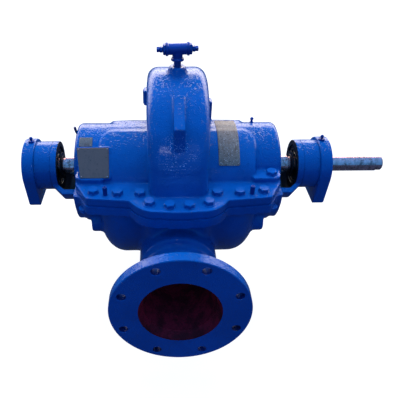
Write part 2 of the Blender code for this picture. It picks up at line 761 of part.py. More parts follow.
def vent_tree(parent):
    x0 = VENT_RUN / 2
    run = VENT_TEE_HEIGHT
    seat = VENT_BOSS_TOP
    y = VENT_DEPTH
    nipple_top = run - TEE_BRANCH_DROP + 0.005 - GAP
    nipple = rod((0, y, seat - NIPPLE_DEPTH), (0, y, nipple_top), PIPE_RADIUS, None, SMALL)
    turn = Matrix.Translation((0, y, 0)) @ Matrix.Rotation(math.radians(VENT_TURN), 4, "Z")

    def placed(mesh):
        mesh.transform(turn)
        return mesh

    end = x0 - TEE_BAND
    body = turned([(-x0, COLLAR_RADIUS), (-end, COLLAR_RADIUS), (-end, TEE_RADIUS),
                   (end, TEE_RADIUS), (end, COLLAR_RADIUS), (x0, COLLAR_RADIUS)], "tee", SMALL)
    body.transform(Matrix.Translation((0, 0, run)))
    drop = TEE_BRANCH_DROP
    branch_mesh = turned([(0.002, TEE_RADIUS - 0.001), (drop - TEE_BAND, TEE_RADIUS - 0.001),
                          (drop - TEE_BAND, COLLAR_RADIUS), (drop, COLLAR_RADIUS)], "tee_branch", SMALL)
    branch_mesh.transform(Matrix.Translation((0, 0, run)) @ Matrix.Rotation(math.radians(90), 4, "Y"))
    socket = rod((0, 0, run - drop - 0.003), (0, 0, run - drop + 0.005), PIPE_RADIUS + GAP, None, SMALL)
    sockets = []
    for sx in (-1, 1):
        sockets.append(rod((sx * (x0 - 0.009), 0, run), (sx * (x0 + 0.01), 0, run), 0.009 + GAP, None, SMALL))
    tee = cut(joined(body, branch_mesh), socket, *sockets)
    add_object("vent_nipple", nipple, fitting_enamel(), parent)
    add_object("vent_tee", placed(tee), fitting_enamel(), parent)
    for side, sx in (("left", -1), ("right", 1)):
        stem = rod((sx * (x0 - 0.008), 0, run), (sx * (x0 + 0.004), 0, run), 0.009, None, SMALL)
        hexagon = rod((sx * (x0 + GAP), 0, run), (sx * (x0 + 0.007), 0, run), 0.0125, None, 6)
        hole = rod((sx * (x0 - 0.002), 0, run), (sx * (x0 + 0.02), 0, run), 0.0055 + GAP, None, TINY)
        bushing = cut(joined(stem, hexagon), hole)
        add_object("vent_bushing_" + side, placed(bushing), fitting_enamel(), parent)
        inner = rod((sx * (x0 - 0.0015), 0, run), (sx * (x0 + 0.012), 0, run), 0.0055, None, TINY)
        rim = rod((sx * (x0 + 0.0105), 0, run), (sx * (x0 + 0.0135), 0, run), 0.0085, None, TINY)
        head = rod((sx * (x0 + 0.012), 0, run), (sx * (x0 + 0.0185), 0, run), 0.0050, None, 4)
        add_object("vent_plug_" + side, placed(joined(inner, rim, head)), fitting_enamel(), parent)


# Plates and small fittings on the lobes

def square_plate(parent):
    square = plate_slab(0, -GAP - PLATE_THICKNESS, -GAP)
    add_object("square_plate", square, plate_metal(), parent, smooth=False)


def lobe_fittings(parent):
    """Bent peg on the left lobe's end face and a ball-headed plug on the right lobe's top."""
    face = -LOBE_END - GAP
    stub = rod((face, 0, PEG_HEIGHT), (face - PEG_STUB, 0, PEG_HEIGHT), 0.0035, None, TINY)
    foot = (face - PEG_STUB * 0.7, 0, PEG_HEIGHT - 0.003)
    tip = (face - PEG_LEAN, 0, PEG_HEIGHT + PEG_LENGTH)
    add_object("lobe_peg", joined(stub, rod(foot, tip, PEG_RADIUS, None, TINY)), fitting_enamel(), parent)
    seat = lobe_section(KNOB_X)[1] + PLATE_SEAT
    profile = [(0, 0.0032), (0.0035, 0.0032), (0.0050, 0.0046), (0.0085, 0.0052), (0.0115, 0.0030)]
    knob = turned(profile, "knob", 12)
    knob.transform(Matrix.Translation((KNOB_X, 0, seat)) @ Matrix.Rotation(math.radians(-90), 4, "Y"))
    add_object("lobe_plug", knob, fitting_enamel(), parent)


def curved_strip(x0, x1, start, end, thickness):
    """Thin plate that follows the lobe's ellipse between two angles measured from -Y."""
    steps = 12
    rings = []
    for k in range(steps + 1):
        a = math.radians(start + (end - start) * k / steps)
        ring = []
        for x, lift in ((x0, 0), (x1, 0), (x1, thickness), (x0, thickness)):
            depth, height = lobe_section(x)
            rise = lift + PLATE_SEAT
            ring.append((x, -(depth + rise) * math.cos(a), (height + rise) * math.sin(a)))
        rings.append(ring)
    return loft(rings, "strip")


def strips(parent):
    add_object("curved_plate", curved_strip(0.107, 0.158, 33, 100, 0.0015), plate_metal(), parent, smooth=False)
    add_object("small_plate", curved_strip(-0.241, -0.212, 57, 68, 0.0015), plate_metal(), parent, smooth=False)


def build():
    clear_scene()
    casing = bpy.data.objects.new("casing_axis", None)
    rotor = bpy.data.objects.new("rotor_axis", None)
    for axis in (casing, rotor):
        bpy.context.scene.collection.objects.link(axis)
        axis.location = (0, 0, SHAFT_HEIGHT)
    lower_casing(casing)
    upper_casing(casing)
    split_pins(casing)
    bearing_ends(casing)
    vent_tree(casing)
    square_plate(casing)
    lobe_fittings(casing)
    strips(casing)
    shaft(rotor)
    shaft_rings(rotor)


build()
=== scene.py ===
# Horizontal split-case pump with a bare shaft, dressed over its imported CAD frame. Metres, +Z up.
import math

import bmesh
import bpy
import numpy as np
from mathutils import Matrix, Vector


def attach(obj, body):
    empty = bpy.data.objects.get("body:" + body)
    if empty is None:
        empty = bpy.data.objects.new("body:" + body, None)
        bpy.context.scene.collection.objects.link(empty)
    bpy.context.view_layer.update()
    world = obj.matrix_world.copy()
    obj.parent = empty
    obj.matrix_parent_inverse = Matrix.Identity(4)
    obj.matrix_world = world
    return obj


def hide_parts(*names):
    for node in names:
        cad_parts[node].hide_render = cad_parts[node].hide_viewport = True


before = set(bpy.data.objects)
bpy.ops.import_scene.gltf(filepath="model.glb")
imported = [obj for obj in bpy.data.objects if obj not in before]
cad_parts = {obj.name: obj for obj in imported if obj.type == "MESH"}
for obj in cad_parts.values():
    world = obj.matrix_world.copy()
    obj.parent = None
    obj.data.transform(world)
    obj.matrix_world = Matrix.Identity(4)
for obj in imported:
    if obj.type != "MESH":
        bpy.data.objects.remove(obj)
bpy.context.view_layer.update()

shaftHeight = 0.425  # every shape is worked out about the shaft's axis, then lifted by this much
tau = 2 * math.pi
print("frame loaded")


# Camera, at the photograph's place and angle
viewPoint = {
    "place": (-0.0385, -1.1163, 1.121),
    "lens": 42.41,
    "shift": (0.0829, -0.0108),
    "turns": (54.26, -0.57, -0.13),  # pitch, yaw and roll in degrees
}


def addCamera(look):
    data = bpy.data.cameras.new("camera")
    data.lens = look["lens"]
    data.sensor_width = 36
    data.shift_x, data.shift_y = look["shift"]
    data.clip_end = 60
    camera = bpy.data.objects.new("camera", data)
    pitch, yaw, roll = (math.radians(a) for a in look["turns"])
    turn = Matrix.Rotation(yaw, 4, "Z") @ Matrix.Rotation(pitch, 4, "X") @ Matrix.Rotation(roll, 4, "Z")
    camera.matrix_world = Matrix.Translation(look["place"]) @ turn
    bpy.context.scene.collection.objects.link(camera)
    bpy.context.scene.camera = camera


addCamera(viewPoint)


# Node helper: adds a node and fills its sockets with values or links
def addNode(tree, kind, inputs=None, **settings):
    made = tree.nodes.new(kind)
    for key, value in settings.items():
        setattr(made, key, value)
    for key, value in (inputs or {}).items():
        if isinstance(value, bpy.types.NodeSocket):
            tree.links.new(value, made.inputs[key])
        else:
            made.inputs[key].default_value = value
    return made


def newMaterial(name):
    made = bpy.data.materials.new(name)
    made.use_nodes = True
    tree = made.node_tree
    return made, tree, tree.nodes["Principled BSDF"]


# Noise of a given grain in metres, read from Object coordinates
def grainNoise(tree, coords, grain, detail=3.0, rough=0.55, stretch=(1, 1, 1)):
    where = addNode(tree, "ShaderNodeMapping", {"Vector": coords, "Scale": stretch}).outputs["Vector"]
    settings = {"Vector": where, "Scale": 1 / grain, "Detail": detail, "Roughness": rough}
    return addNode(tree, "ShaderNodeTexNoise", settings).outputs["Fac"]


# Smooth step of a value between two limits, from start to end
def stepped(tree, value, low, high, start=0.0, end=1.0):
    settings = {"Value": value, "From Min": low, "From Max": high, "To Min": start, "To Max": end}
    return addNode(tree, "ShaderNodeMapRange", settings, interpolation_type="SMOOTHSTEP").outputs["Result"]


def mixColours(tree, factor, first, second, blend="MIX"):
    made = addNode(tree, "ShaderNodeMix", {"Factor": factor}, data_type="RGBA", blend_type=blend)
    for socket, value in ((made.inputs[6], first), (made.inputs[7], second)):
        if isinstance(value, bpy.types.NodeSocket):
            tree.links.new(value, socket)
        else:
            socket.default_value = (*value, 1.0)
    return made.outputs[2]


def calculate(tree, operation, first, second=0.0):
    made = addNode(tree, "ShaderNodeMath", {0: first, 1: second}, operation=operation)
    return made.outputs[0]


def times(tree, first, second):
    return calculate(tree, "MULTIPLY", first, second)


def objectCoords(tree):
    return addNode(tree, "ShaderNodeTexCoord").outputs["Object"]


# Float that markShape leaves on a mesh: how hollow ("crease") or how sharp ("edge") each point is
def readMark(tree, name):
    return addNode(tree, "ShaderNodeAttribute", attribute_name=name).outputs["Fac"]


# Bump normal of a height, its depth in metres, laid over an earlier normal if one is given
def bumped(tree, height, depth, below=None):
    inputs = {"Height": height, "Distance": depth}
    if below is not None:
        inputs["Normal"] = below
    return addNode(tree, "ShaderNodeBump", inputs).outputs["Normal"]


# Enamels over cast iron: depths of bump in metres, and the shares of the colour for dust and for the pale
# painted highlight along the creases; the dark crease colour is painted shade with grime
enamelLooks = {
    "blueEnamel": {
        "bright": (0.0008, 0.084, 0.350), "deep": (0.0006, 0.066, 0.282), "creaseShadeAndDirt": (0.001, 0.009, 0.055),
        "wear": (0.04, 0.19, 0.66), "rough": (0.045, 0.10), "grain": 0.00090, "peel": 0.00010,
        "sand": 0.00130, "dust": 0.010, "creaseHighlight": 0.75,
    },
    "fittingEnamel": {
        "bright": (0.001, 0.042, 0.280), "deep": (0.001, 0.024, 0.165), "creaseShadeAndDirt": (0.001, 0.005, 0.030),
        "wear": (0.06, 0.15, 0.50), "rough": (0.26, 0.42), "grain": 0.00016, "peel": 0.00004,
        "sand": 0.0, "dust": 0.02, "creaseHighlight": 0.15,
    },
    "coverEnamel": {
        "bright": (0.001, 0.034, 0.220), "deep": (0.001, 0.014, 0.085), "creaseShadeAndDirt": (0.003, 0.003, 0.004),
        "wear": (0.06, 0.12, 0.36), "rough": (0.34, 0.55), "grain": 0.00016, "peel": 0.00004,
        "sand": 0.0, "dust": 0.02, "creaseHighlight": 0.0,
    },
    # Dark oily paint: oil stain, and where it lines the brackets' troughs and the gland, painted shade
    "oilyCoverAndShade": {
        "bright": (0.004, 0.008, 0.020), "deep": (0.003, 0.003, 0.004), "creaseShadeAndDirt": (0.030, 0.016, 0.009),
        "wear": (0.10, 0.09, 0.09), "rough": (0.30, 0.55), "grain": 0.00016, "peel": 0.00004,
        "sand": 0.0, "dust": 0.01, "creaseHighlight": 0.0,
    },
}
# Pale blue of the painted highlight along the creases, grey of the dust, pale blue of the painted glints on
# the arch
paintTones = {"creaseHighlight": (0.07, 0.23, 0.76), "dust": (0.36, 0.42, 0.55), "paintedGlints": (0.46, 0.55, 0.86)}
# Where the painted glints gather on the arch, where they fade out, and the scale of their cells
paintedGlintsLook = {"centre": (0.0, -0.163, 0.550), "fade": (0.064, 0.022), "scale": 430.0}


# Painted glints on the arch below its rib: pale cells picked by their random colour, fewer away from one
# point
def paintedGlints(tree, coords, look):
    span = {0: coords, 1: look["centre"]}
    away = addNode(tree, "ShaderNodeVectorMath", span, operation="DISTANCE").outputs["Value"]
    cells = addNode(tree, "ShaderNodeTexVoronoi", {"Vector": coords, "Scale": look["scale"]}).outputs
    chosen = addNode(tree, "ShaderNodeSeparateXYZ", {"Vector": cells["Color"]}).outputs["Y"]
    grain = times(tree, stepped(tree, cells["Distance"], 0.46, 0.24), stepped(tree, chosen, 0.45, 0.75))
    patchy = stepped(tree, grainNoise(tree, coords, 0.016, 3.0), 0.36, 0.60)
    return times(tree, grain, times(tree, stepped(tree, away, *look["fade"]), patchy))


# Two blues in patches, then painted shade with grime and a speckled pale painted highlight in the creases,
# rubbed edges, and dust on what faces up
def enamelColour(tree, coords, look, patches, creaseShadeAndGrime):
    mottle = stepped(tree, grainNoise(tree, coords, 0.018, 3.0), 0.30, 0.75, 0.0, 0.35)
    colour = mixColours(tree, stepped(tree, patches, 0.35, 0.68), look["deep"], look["bright"])
    colour = mixColours(tree, mottle, colour, look["deep"])
    # Darker in the creases: painted shade, with grime
    colour = mixColours(tree, times(tree, creaseShadeAndGrime, 1 - look["creaseHighlight"]), colour, look["creaseShadeAndDirt"])
    speckle = stepped(tree, grainNoise(tree, coords, 0.0024, 3.0), 0.44, 0.60, 0.15, 1.0)
    # Pale speckles along the creases: a painted highlight
    creaseHighlight = times(tree, stepped(tree, readMark(tree, "crease"), 0.40, 0.90, 0.0, look["creaseHighlight"]), speckle)
    colour = mixColours(tree, creaseHighlight, colour, paintTones["creaseHighlight"])
    chips = stepped(tree, grainNoise(tree, coords, 0.006, 3.0), 0.45, 0.70, 0.0, 0.35)
    colour = mixColours(tree, times(tree, readMark(tree, "edge"), chips), colour, look["wear"])
    facing = addNode(tree, "ShaderNodeNewGeometry").outputs["Normal"]
    upward = addNode(tree, "ShaderNodeSeparateXYZ", {"Vector": facing}).outputs["Z"]
    drift = stepped(tree, grainNoise(tree, coords, 0.03, 5.0), 0.35, 0.70)
    dust = times(tree, stepped(tree, upward, 0.55, 1.0, 0.0, look["dust"]), drift)
    return mixColours(tree, dust, colour, paintTones["dust"])


# Casting under the paint: uneven sand, orange peel, scattered lumps and small dry nibs
def enamelRelief(tree, coords, look, patches, nibs):
    sand = grainNoise(tree, coords, 0.0055, 3.0, 0.62)
    relief = bumped(tree, times(tree, sand, stepped(tree, patches, 0.42, 0.62, 0.25, 1.0)), look["grain"])
    relief = bumped(tree, grainNoise(tree, coords, 0.0019, 2.0), look["peel"], relief)
    cells = addNode(tree, "ShaderNodeTexVoronoi", {"Vector": coords, "Scale": 290.0}).outputs
    chosen = addNode(tree, "ShaderNodeSeparateXYZ", {"Vector": cells["Color"]}).outputs["X"]
    lumps = times(tree, stepped(tree, cells["Distance"], 0.50, 0.05), stepped(tree, chosen, 0.42, 0.82))
    patchy = stepped(tree, grainNoise(tree, coords, 0.045, 3.0), 0.42, 0.58, 0.60, 1.0)
    relief = bumped(tree, times(tree, lumps, patchy), look["sand"], relief)
    return bumped(tree, nibs, 0.0004, relief)


def enamel(name):
    look = enamelLooks[name]
    made, tree, shader = newMaterial(name)
    coords = objectCoords(tree)
    patches = grainNoise(tree, coords, 0.11, 4.0)
    grime = stepped(tree, grainNoise(tree, coords, 0.012, 4.0), 0.25, 0.65, 0.35, 1.0)
    # Crease mark in patches: painted shade with grime, which also roughens the gloss
    creaseShadeAndGrime = times(tree, readMark(tree, "crease"), grime)
    nibs = addNode(tree, "ShaderNodeTexVoronoi", {"Vector": coords, "Scale": 210.0}).outputs["Distance"]
    nibs = times(tree, stepped(tree, nibs, 0.16, 0.05), stepped(tree, patches, 0.48, 0.62))
    colour = enamelColour(tree, coords, look, patches, creaseShadeAndGrime)
    colour = mixColours(tree, times(tree, nibs, 0.20), colour, look["wear"])
    if name == "blueEnamel":
        # Pale grains round one point of the arch: painted glints
        colour = mixColours(tree, paintedGlints(tree, coords, paintedGlintsLook), colour, paintTones["paintedGlints"])
    tree.links.new(colour, shader.inputs["Base Color"])
    gloss = stepped(tree, grainNoise(tree, coords, 0.025, 4.0), 0.30, 0.72, *look["rough"])
    gloss = calculate(tree, "ADD", gloss, times(tree, creaseShadeAndGrime, 0.22))
    tree.links.new(gloss, shader.inputs["Roughness"])
    tree.links.new(enamelRelief(tree, coords, look, patches, nibs), shader.inputs["Normal"])
    shader.inputs["IOR"].default_value = 1.34
    return made


# Turned steel with tool marks round the shaft, oily bands and scuffs
steelLook = {
    "bright": (0.92, 0.50, 0.52), "dull": (0.56, 0.32, 0.32), "stain": (0.070, 0.046, 0.036),
    "rough": (0.14, 0.32),
    "shaft": 0.65, "rivet": 0.25,  # share of stain
}


def turnedSteel(name, stainShare):
    made, tree, shader = newMaterial(name)
    coords = objectCoords(tree)
    marks = grainNoise(tree, coords, 0.0011, 2.0, 0.5, (1, 0.02, 0.02))
    bands = grainNoise(tree, coords, 0.012, 4.0, 0.65, (1, 0.55, 0.55))
    scuffs = grainNoise(tree, coords, 0.010, 5.0, 0.68)
    colour = mixColours(tree, stepped(tree, bands, 0.36, 0.66), steelLook["dull"], steelLook["bright"])
    stained = stepped(tree, scuffs, 0.50, 0.64, 0.0, stainShare)
    colour = mixColours(tree, stained, colour, steelLook["stain"])
    tree.links.new(colour, shader.inputs["Base Color"])
    shader.inputs["Metallic"].default_value = 0.85
    rough = stepped(tree, scuffs, 0.30, 0.70, *steelLook["rough"])
    tree.links.new(rough, shader.inputs["Roughness"])
    relief = bumped(tree, scuffs, 0.00006, bumped(tree, marks, 0.00003))
    tree.links.new(relief, shader.inputs["Normal"])
    return made


# Weathered plate metal: speckled oxide over grey, streaked downwards, with dark flakes
plateLooks = {
    "squarePlate": {
        "base": (0.125, 0.084, 0.078), "spot": (0.165, 0.118, 0.105), "rust": (0.078, 0.062, 0.060),
        "grain": 0.0030, "contrast": 0.55, "rough": (0.42, 0.60), "metal": 0.15,
    },
    "curvedPlate": {
        "base": (0.150, 0.120, 0.104), "spot": (0.46, 0.45, 0.50), "rust": (0.095, 0.048, 0.030),
        "grain": 0.0026, "contrast": 1.0, "rough": (0.38, 0.70), "metal": 0.2,
    },
    "smallPlate": {
        "base": (0.125, 0.112, 0.110), "spot": (0.26, 0.25, 0.26), "rust": (0.060, 0.024, 0.016),
        "grain": 0.0022, "contrast": 0.8, "rough": (0.40, 0.66), "metal": 0.2,
    },
}


def plateMetal(name):
    look = plateLooks[name]
    made, tree, shader = newMaterial(name)
    coords = objectCoords(tree)
    fine = grainNoise(tree, coords, look["grain"], 4.0, 0.7)
    flakes = grainNoise(tree, coords, look["grain"] * 2.2, 3.0, 0.6)
    streaks = grainNoise(tree, coords, 0.006, 3.0, 0.6, (1, 0.25, 0.25))
    streaked = stepped(tree, streaks, 0.50, 0.72, 0.0, look["contrast"])
    colour = mixColours(tree, streaked, look["base"], look["rust"])
    colour = mixColours(tree, stepped(tree, fine, 0.54, 0.70, 0.0, look["contrast"]), colour, look["spot"])
    dark = stepped(tree, flakes, 0.44, 0.30, 0.0, look["contrast"] * 0.8)
    colour = mixColours(tree, dark, colour, (0.020, 0.019, 0.026))
    tree.links.new(colour, shader.inputs["Base Color"])
    shader.inputs["Metallic"].default_value = look["metal"]
    tree.links.new(stepped(tree, fine, 0.3, 0.7, *look["rough"]), shader.inputs["Roughness"])
    tree.links.new(bumped(tree, fine, 0.0003 * look["contrast"]), shader.inputs["Normal"])
    return made


# Red oxide primer inside the nozzles, blotched and wet looking: its dark and its light tone
primerLooks = {
    "outletPrimer": ((0.200, 0.0080, 0.014), (0.560, 0.0110, 0.026)),
    "inletPrimer": ((0.050, 0.0050, 0.010), (0.150, 0.0080, 0.018)),
}


def boreMaterial(name):
    dark, light = primerLooks[name]
    made, tree, shader = newMaterial(name)
    coords = objectCoords(tree)
    blotch = grainNoise(tree, coords, 0.035, 5.0, 0.6)
    fine = grainNoise(tree, coords, 0.004, 3.0, 0.6)
    colour = mixColours(tree, stepped(tree, blotch, 0.38, 0.64), dark, light)
    colour = mixColours(tree, stepped(tree, fine, 0.52, 0.75, 0.0, 0.5), colour, (0.006, 0.002, 0.004))
    tree.links.new(colour, shader.inputs["Base Color"])
    tree.links.new(stepped(tree, fine, 0.3, 0.7, 0.45, 0.75), shader.inputs["Roughness"])
    shader.inputs["Specular IOR Level"].default_value = 0.12
    tree.links.new(bumped(tree, fine, 0.0005), shader.inputs["Normal"])
    return made


blueEnamel = enamel("blueEnamel")
fittingEnamel = enamel("fittingEnamel")
coverEnamel = enamel("coverEnamel")
oilyCoverAndShade = enamel("oilyCoverAndShade")
shaftSteel = turnedSteel("shaftSteel", steelLook["shaft"])
rivetSteel = turnedSteel("rivetSteel", steelLook["rivet"])
outletPrimer = boreMaterial("outletPrimer")
inletPrimer = boreMaterial("inletPrimer")
print("materials made")


# Quads between neighbouring rows and columns of a grid of points; either way may close on itself
def gridQuads(rows, columns, wrapRows, wrapColumns):
    i = np.arange(rows if wrapRows else rows - 1)[:, None]
    j = np.arange(columns if wrapColumns else columns - 1)[None, :]
    nextRow, nextColumn = (i + 1) % rows, (j + 1) % columns
    here, ahead = i * columns, nextRow * columns
    return np.stack([here + j, here + nextColumn, ahead + nextColumn, ahead + j], -1).reshape(-1, 4)


# A shell is (points, quads, caps): rings of points stacked in rows, capped flat or closed into a loop
def ringShell(grid, loop=False):
    rows, columns = grid.shape[:2]
    caps = [] if loop else [np.arange(columns)[::-1], np.arange(columns) + (rows - 1) * columns]
    return grid.reshape(-1, 3), gridQuads(rows, columns, loop, True), caps


# Surface of revolution: each (along, radius) of the profile becomes (along, radius cos t, radius sin t)
def latheShell(profile, sides, axis="x", centre=(0, 0, 0), loop=False):
    profile = np.asarray(profile, float)
    t = np.linspace(0, tau, sides, endpoint=False)
    along = profile[:, :1] + 0 * t
    u, v = profile[:, 1:2] * np.cos(t), profile[:, 1:2] * np.sin(t)
    order = {"x": (along, u, v), "y": (v, along, u), "z": (u, v, along)}[axis]
    return ringShell(np.stack(order, -1) + np.asarray(centre, float), loop)


# Prism over an (x, y) outline; each level is (z, inset), the inset measured along the outline's own normals
def prismShell(outline, levels):
    outline = np.asarray(outline, float)
    ahead, behind = np.roll(outline, -1, 0), np.roll(outline, 1, 0)
    along = (ahead - behind) / np.linalg.norm(ahead - behind, axis=1, keepdims=True)
    inward = np.stack([-along[:, 1], along[:, 0]], 1)
    area = np.sum(outline[:, 0] * ahead[:, 1] - ahead[:, 0] * outline[:, 1])
    inward = inward * np.sign(area)
    rows = [np.column_stack([outline + inward * inset, np.full(len(outline), z)]) for z, inset in levels]
    return ringShell(np.array(rows))


def boxShell(low, high):
    (x0, y0, z0), (x1, y1, z1) = low, high
    return prismShell([(x0, y0), (x1, y0), (x1, y1), (x0, y1)], [(z0, 0), (z1, 0)])


# Straight round bar from one point to another; its rows are (share of the length, radius)
def barShell(start, end, profile, sides=48):
    start, end = np.asarray(start, float), np.asarray(end, float)
    length = np.linalg.norm(end - start)
    points, quads, caps = latheShell([(a * length, r) for a, r in profile], sides)
    return turnedShell((points, quads, caps), turnTo((end - start) / length), start)


# Rotation that takes +X to a direction: one, plus the cross matrix, plus its square over one plus the cosine
def turnTo(direction):
    direction = np.asarray(direction, float) / np.linalg.norm(direction)
    axis = np.cross((1, 0, 0), direction)
    cosine = direction[0]
    if np.linalg.norm(axis) < 1e-9:
        return np.diag((1.0, 1.0, 1.0)) if cosine > 0 else np.diag((-1.0, 1.0, -1.0))
    cross = np.array([[0, -axis[2], axis[1]], [axis[2], 0, -axis[0]], [-axis[1], axis[0], 0]])
    return np.eye(3) + cross + cross @ cross / (1 + cosine)


towardsX = np.array([[0, 0, 1], [0, 1, 0], [-1, 0, 0]], float)  # takes +Z to +X


# Turned by a rotation, then moved to its place
def turnedShell(shell, turn, place=(0, 0, 0)):
    points, quads, caps = shell
    return points @ np.asarray(turn).T + np.asarray(place, float), quads, caps


# Reflection to the other end of the shaft, with each face's order turned round
def mirroredShell(shell):
    points, quads, caps = shell
    return points * (-1, 1, 1), quads[:, ::-1], [cap[::-1] for cap in caps]


# Hexagon head or nut about +Z: the radius across the flats at each angle, cut by a cone at its chamfered ends
def hexShell(flats, bottom, top, chamfer=0.0012, lowerChamfer=0.0, sides=72):
    t = np.linspace(0, tau, sides, endpoint=False)
    hexagon = flats / 2 / np.cos((t + tau / 12) % (tau / 6) - tau / 12)
    corner = flats / 2 / math.cos(tau / 12)
    cones = [(bottom, corner - lowerChamfer * 1.6), (bottom + lowerChamfer, corner), (top - chamfer, corner),
             (top - chamfer * 0.4, corner - chamfer * 1.1), (top, flats / 2 - chamfer * 0.2)]
    rows = []
    for z, cone in cones:
        r = np.minimum(hexagon, cone)
        rows.append(np.column_stack([r * np.cos(t), r * np.sin(t), np.full(sides, z)]))
    return ringShell(np.array(rows))


# Flat ring whose outer radius follows the angle about +X, with rounded rims; a bore of 0 gives a solid disc
def polarPlate(radiusAt, bore, x0, x1, edge, sides=180, steps=5, boreEdge=0.0006):
    t = np.linspace(0, tau, sides, endpoint=False)
    outer = radiusAt(t)
    a = np.linspace(0, math.pi / 2, steps)
    rise = [(x0 + edge * (1 - math.cos(k)), edge * (1 - math.sin(k))) for k in a]
    fall = [(x1 - edge * (1 - math.cos(k)), edge * (1 - math.sin(k))) for k in a[::-1]]
    rows = [(x, outer - inset) for x, inset in rise + fall]
    if bore:
        hole = np.full(sides, bore)
        near = [(x0 + boreEdge, hole), (x0, hole + boreEdge)]
        rows = near + rows + [(x1, hole + boreEdge), (x1 - boreEdge, hole)]
    grid = np.array([np.column_stack([np.full(sides, x), r * np.cos(t), r * np.sin(t)]) for x, r in rows])
    return ringShell(grid, loop=bool(bore))


# Radius of a closed (y, z) polygon at each angle: where the ray from the axis crosses its sides
def radiusOfOutline(outline):
    outline = np.asarray(outline, float)

    def radiusAt(t):
        start, end = outline, np.roll(outline, -1, 0)
        ray = np.column_stack([np.cos(t), np.sin(t)])
        side = end - start
        across = ray[:, None, 0] * side[None, :, 1] - ray[:, None, 1] * side[None, :, 0]
        across = np.where(np.abs(across) < 1e-12, 1e-12, across)
        reach = (start[:, 0] * side[:, 1] - start[:, 1] * side[:, 0])[None, :] / across
        share = (start[None, :, 0] * ray[:, None, 1] - start[None, :, 1] * ray[:, None, 0]) / across
        hit = (reach > 0) & (share >= -1e-9) & (share <= 1 + 1e-9)
        return np.where(hit, reach, np.inf).min(1)

    return radiusAt


# Puts shells into one mesh, lifted to the shaft's height
def putMesh(name, shells):
    points, loops, sizes, start = [], [], [], 0
    for verts, quads, caps in shells:
        points.append(verts)
        loops.append(quads.ravel() + start)
        sizes += [4] * len(quads)
        for cap in caps:
            loops.append(cap + start)
            sizes.append(len(cap))
        start += len(verts)
    points = np.concatenate(points) + (0, 0, shaftHeight)
    loops = np.concatenate(loops)
    mesh = bpy.data.meshes.new(name)
    mesh.vertices.add(len(points))
    mesh.vertices.foreach_set("co", points.astype(np.float32).ravel())
    mesh.loops.add(len(loops))
    mesh.loops.foreach_set("vertex_index", loops.astype(np.int32))
    mesh.polygons.add(len(sizes))
    mesh.polygons.foreach_set("loop_start", (np.cumsum(sizes) - sizes).astype(np.int32))
    mesh.update(calc_edges=True)
    mesh.validate()
    return mesh


# Makes every face of closed shells look outwards
def turnFacesOut(mesh):
    work = bmesh.new()
    work.from_mesh(mesh)
    bmesh.ops.recalc_face_normals(work, faces=work.faces)
    work.to_mesh(mesh)
    work.free()


def addObject(name, mesh):
    made = bpy.data.objects.new(name, mesh)
    bpy.context.scene.collection.objects.link(made)
    return made


# Runs an object's modifiers into a new mesh and drops the object
def settled(made):
    bpy.context.view_layer.update()
    mesh = bpy.data.meshes.new_from_object(made.evaluated_get(bpy.context.evaluated_depsgraph_get()))
    bpy.data.objects.remove(made, do_unlink=True)
    return mesh


# Cuts tools out of a mesh; each tool is a list of closed shells
def cutMesh(mesh, tools, solver="MANIFOLD"):
    body = addObject("body", mesh)
    turnFacesOut(mesh)
    cutters = []
    for shells in tools:
        tool = addObject("tool", putMesh("tool", shells))
        turnFacesOut(tool.data)
        step = body.modifiers.new("cut", "BOOLEAN")
        step.operation, step.object, step.solver = "DIFFERENCE", tool, solver
        cutters.append(tool)
    result = settled(body)
    for tool in cutters:
        bpy.data.objects.remove(tool, do_unlink=True)
    return result


def edgePairs(mesh):
    pairs = np.empty(len(mesh.edges) * 2, np.int32)
    mesh.edges.foreach_get("vertices", pairs)
    return pairs.reshape(-1, 2)


def vertexPoints(mesh):
    points = np.empty(len(mesh.vertices) * 3, np.float32)
    mesh.vertices.foreach_get("co", points)
    return points.reshape(-1, 3).astype(float)


# Vertex normals of the mesh once its points are moved to the given ones
def vertexNormals(mesh, points):
    mesh.vertices.foreach_set("co", points.astype(np.float32).ravel())
    mesh.update()
    normals = np.empty(len(points) * 3, np.float32)
    mesh.vertex_normals.foreach_get("vector", normals)
    return normals.reshape(-1, 3).astype(float)


# Mean of each point's neighbours, by summing over the edges both ways
def neighbourMean(values, pairs, count):
    total = np.zeros_like(values)
    for k in range(values.shape[1]):
        total[:, k] = np.bincount(pairs[:, 0], values[pairs[:, 1], k], len(values))
        total[:, k] += np.bincount(pairs[:, 1], values[pairs[:, 0], k], len(values))
    return total / count[:, None]


# Slow swell of a hand-moulded casting: three crossed sine waves along each axis
def castSwell(points, height, length):
    x, y, z = (points * tau / length).T
    wave = np.sin(x + 1.3 * np.sin(0.7 * y + 0.4)) + np.sin(1.1 * y + 1.1 * np.sin(0.8 * z + 2.0))
    wave += np.sin(0.9 * z + 1.2 * np.sin(0.6 * x + 4.1)) + 0.6 * np.sin(2.3 * x + 1.9 * y - 2.1 * z)
    return wave * height / 3.6


castPasses = {
    "smooth": (0.5, -0.52), "finish": (0.4, -0.42), "finishTurns": 3,  # shares in, then out again
    "fill": 0.55, "hollow": (0.006, 0.036),  # pull towards the neighbours, and where it begins and is full
    "swellLength": 0.085,
}


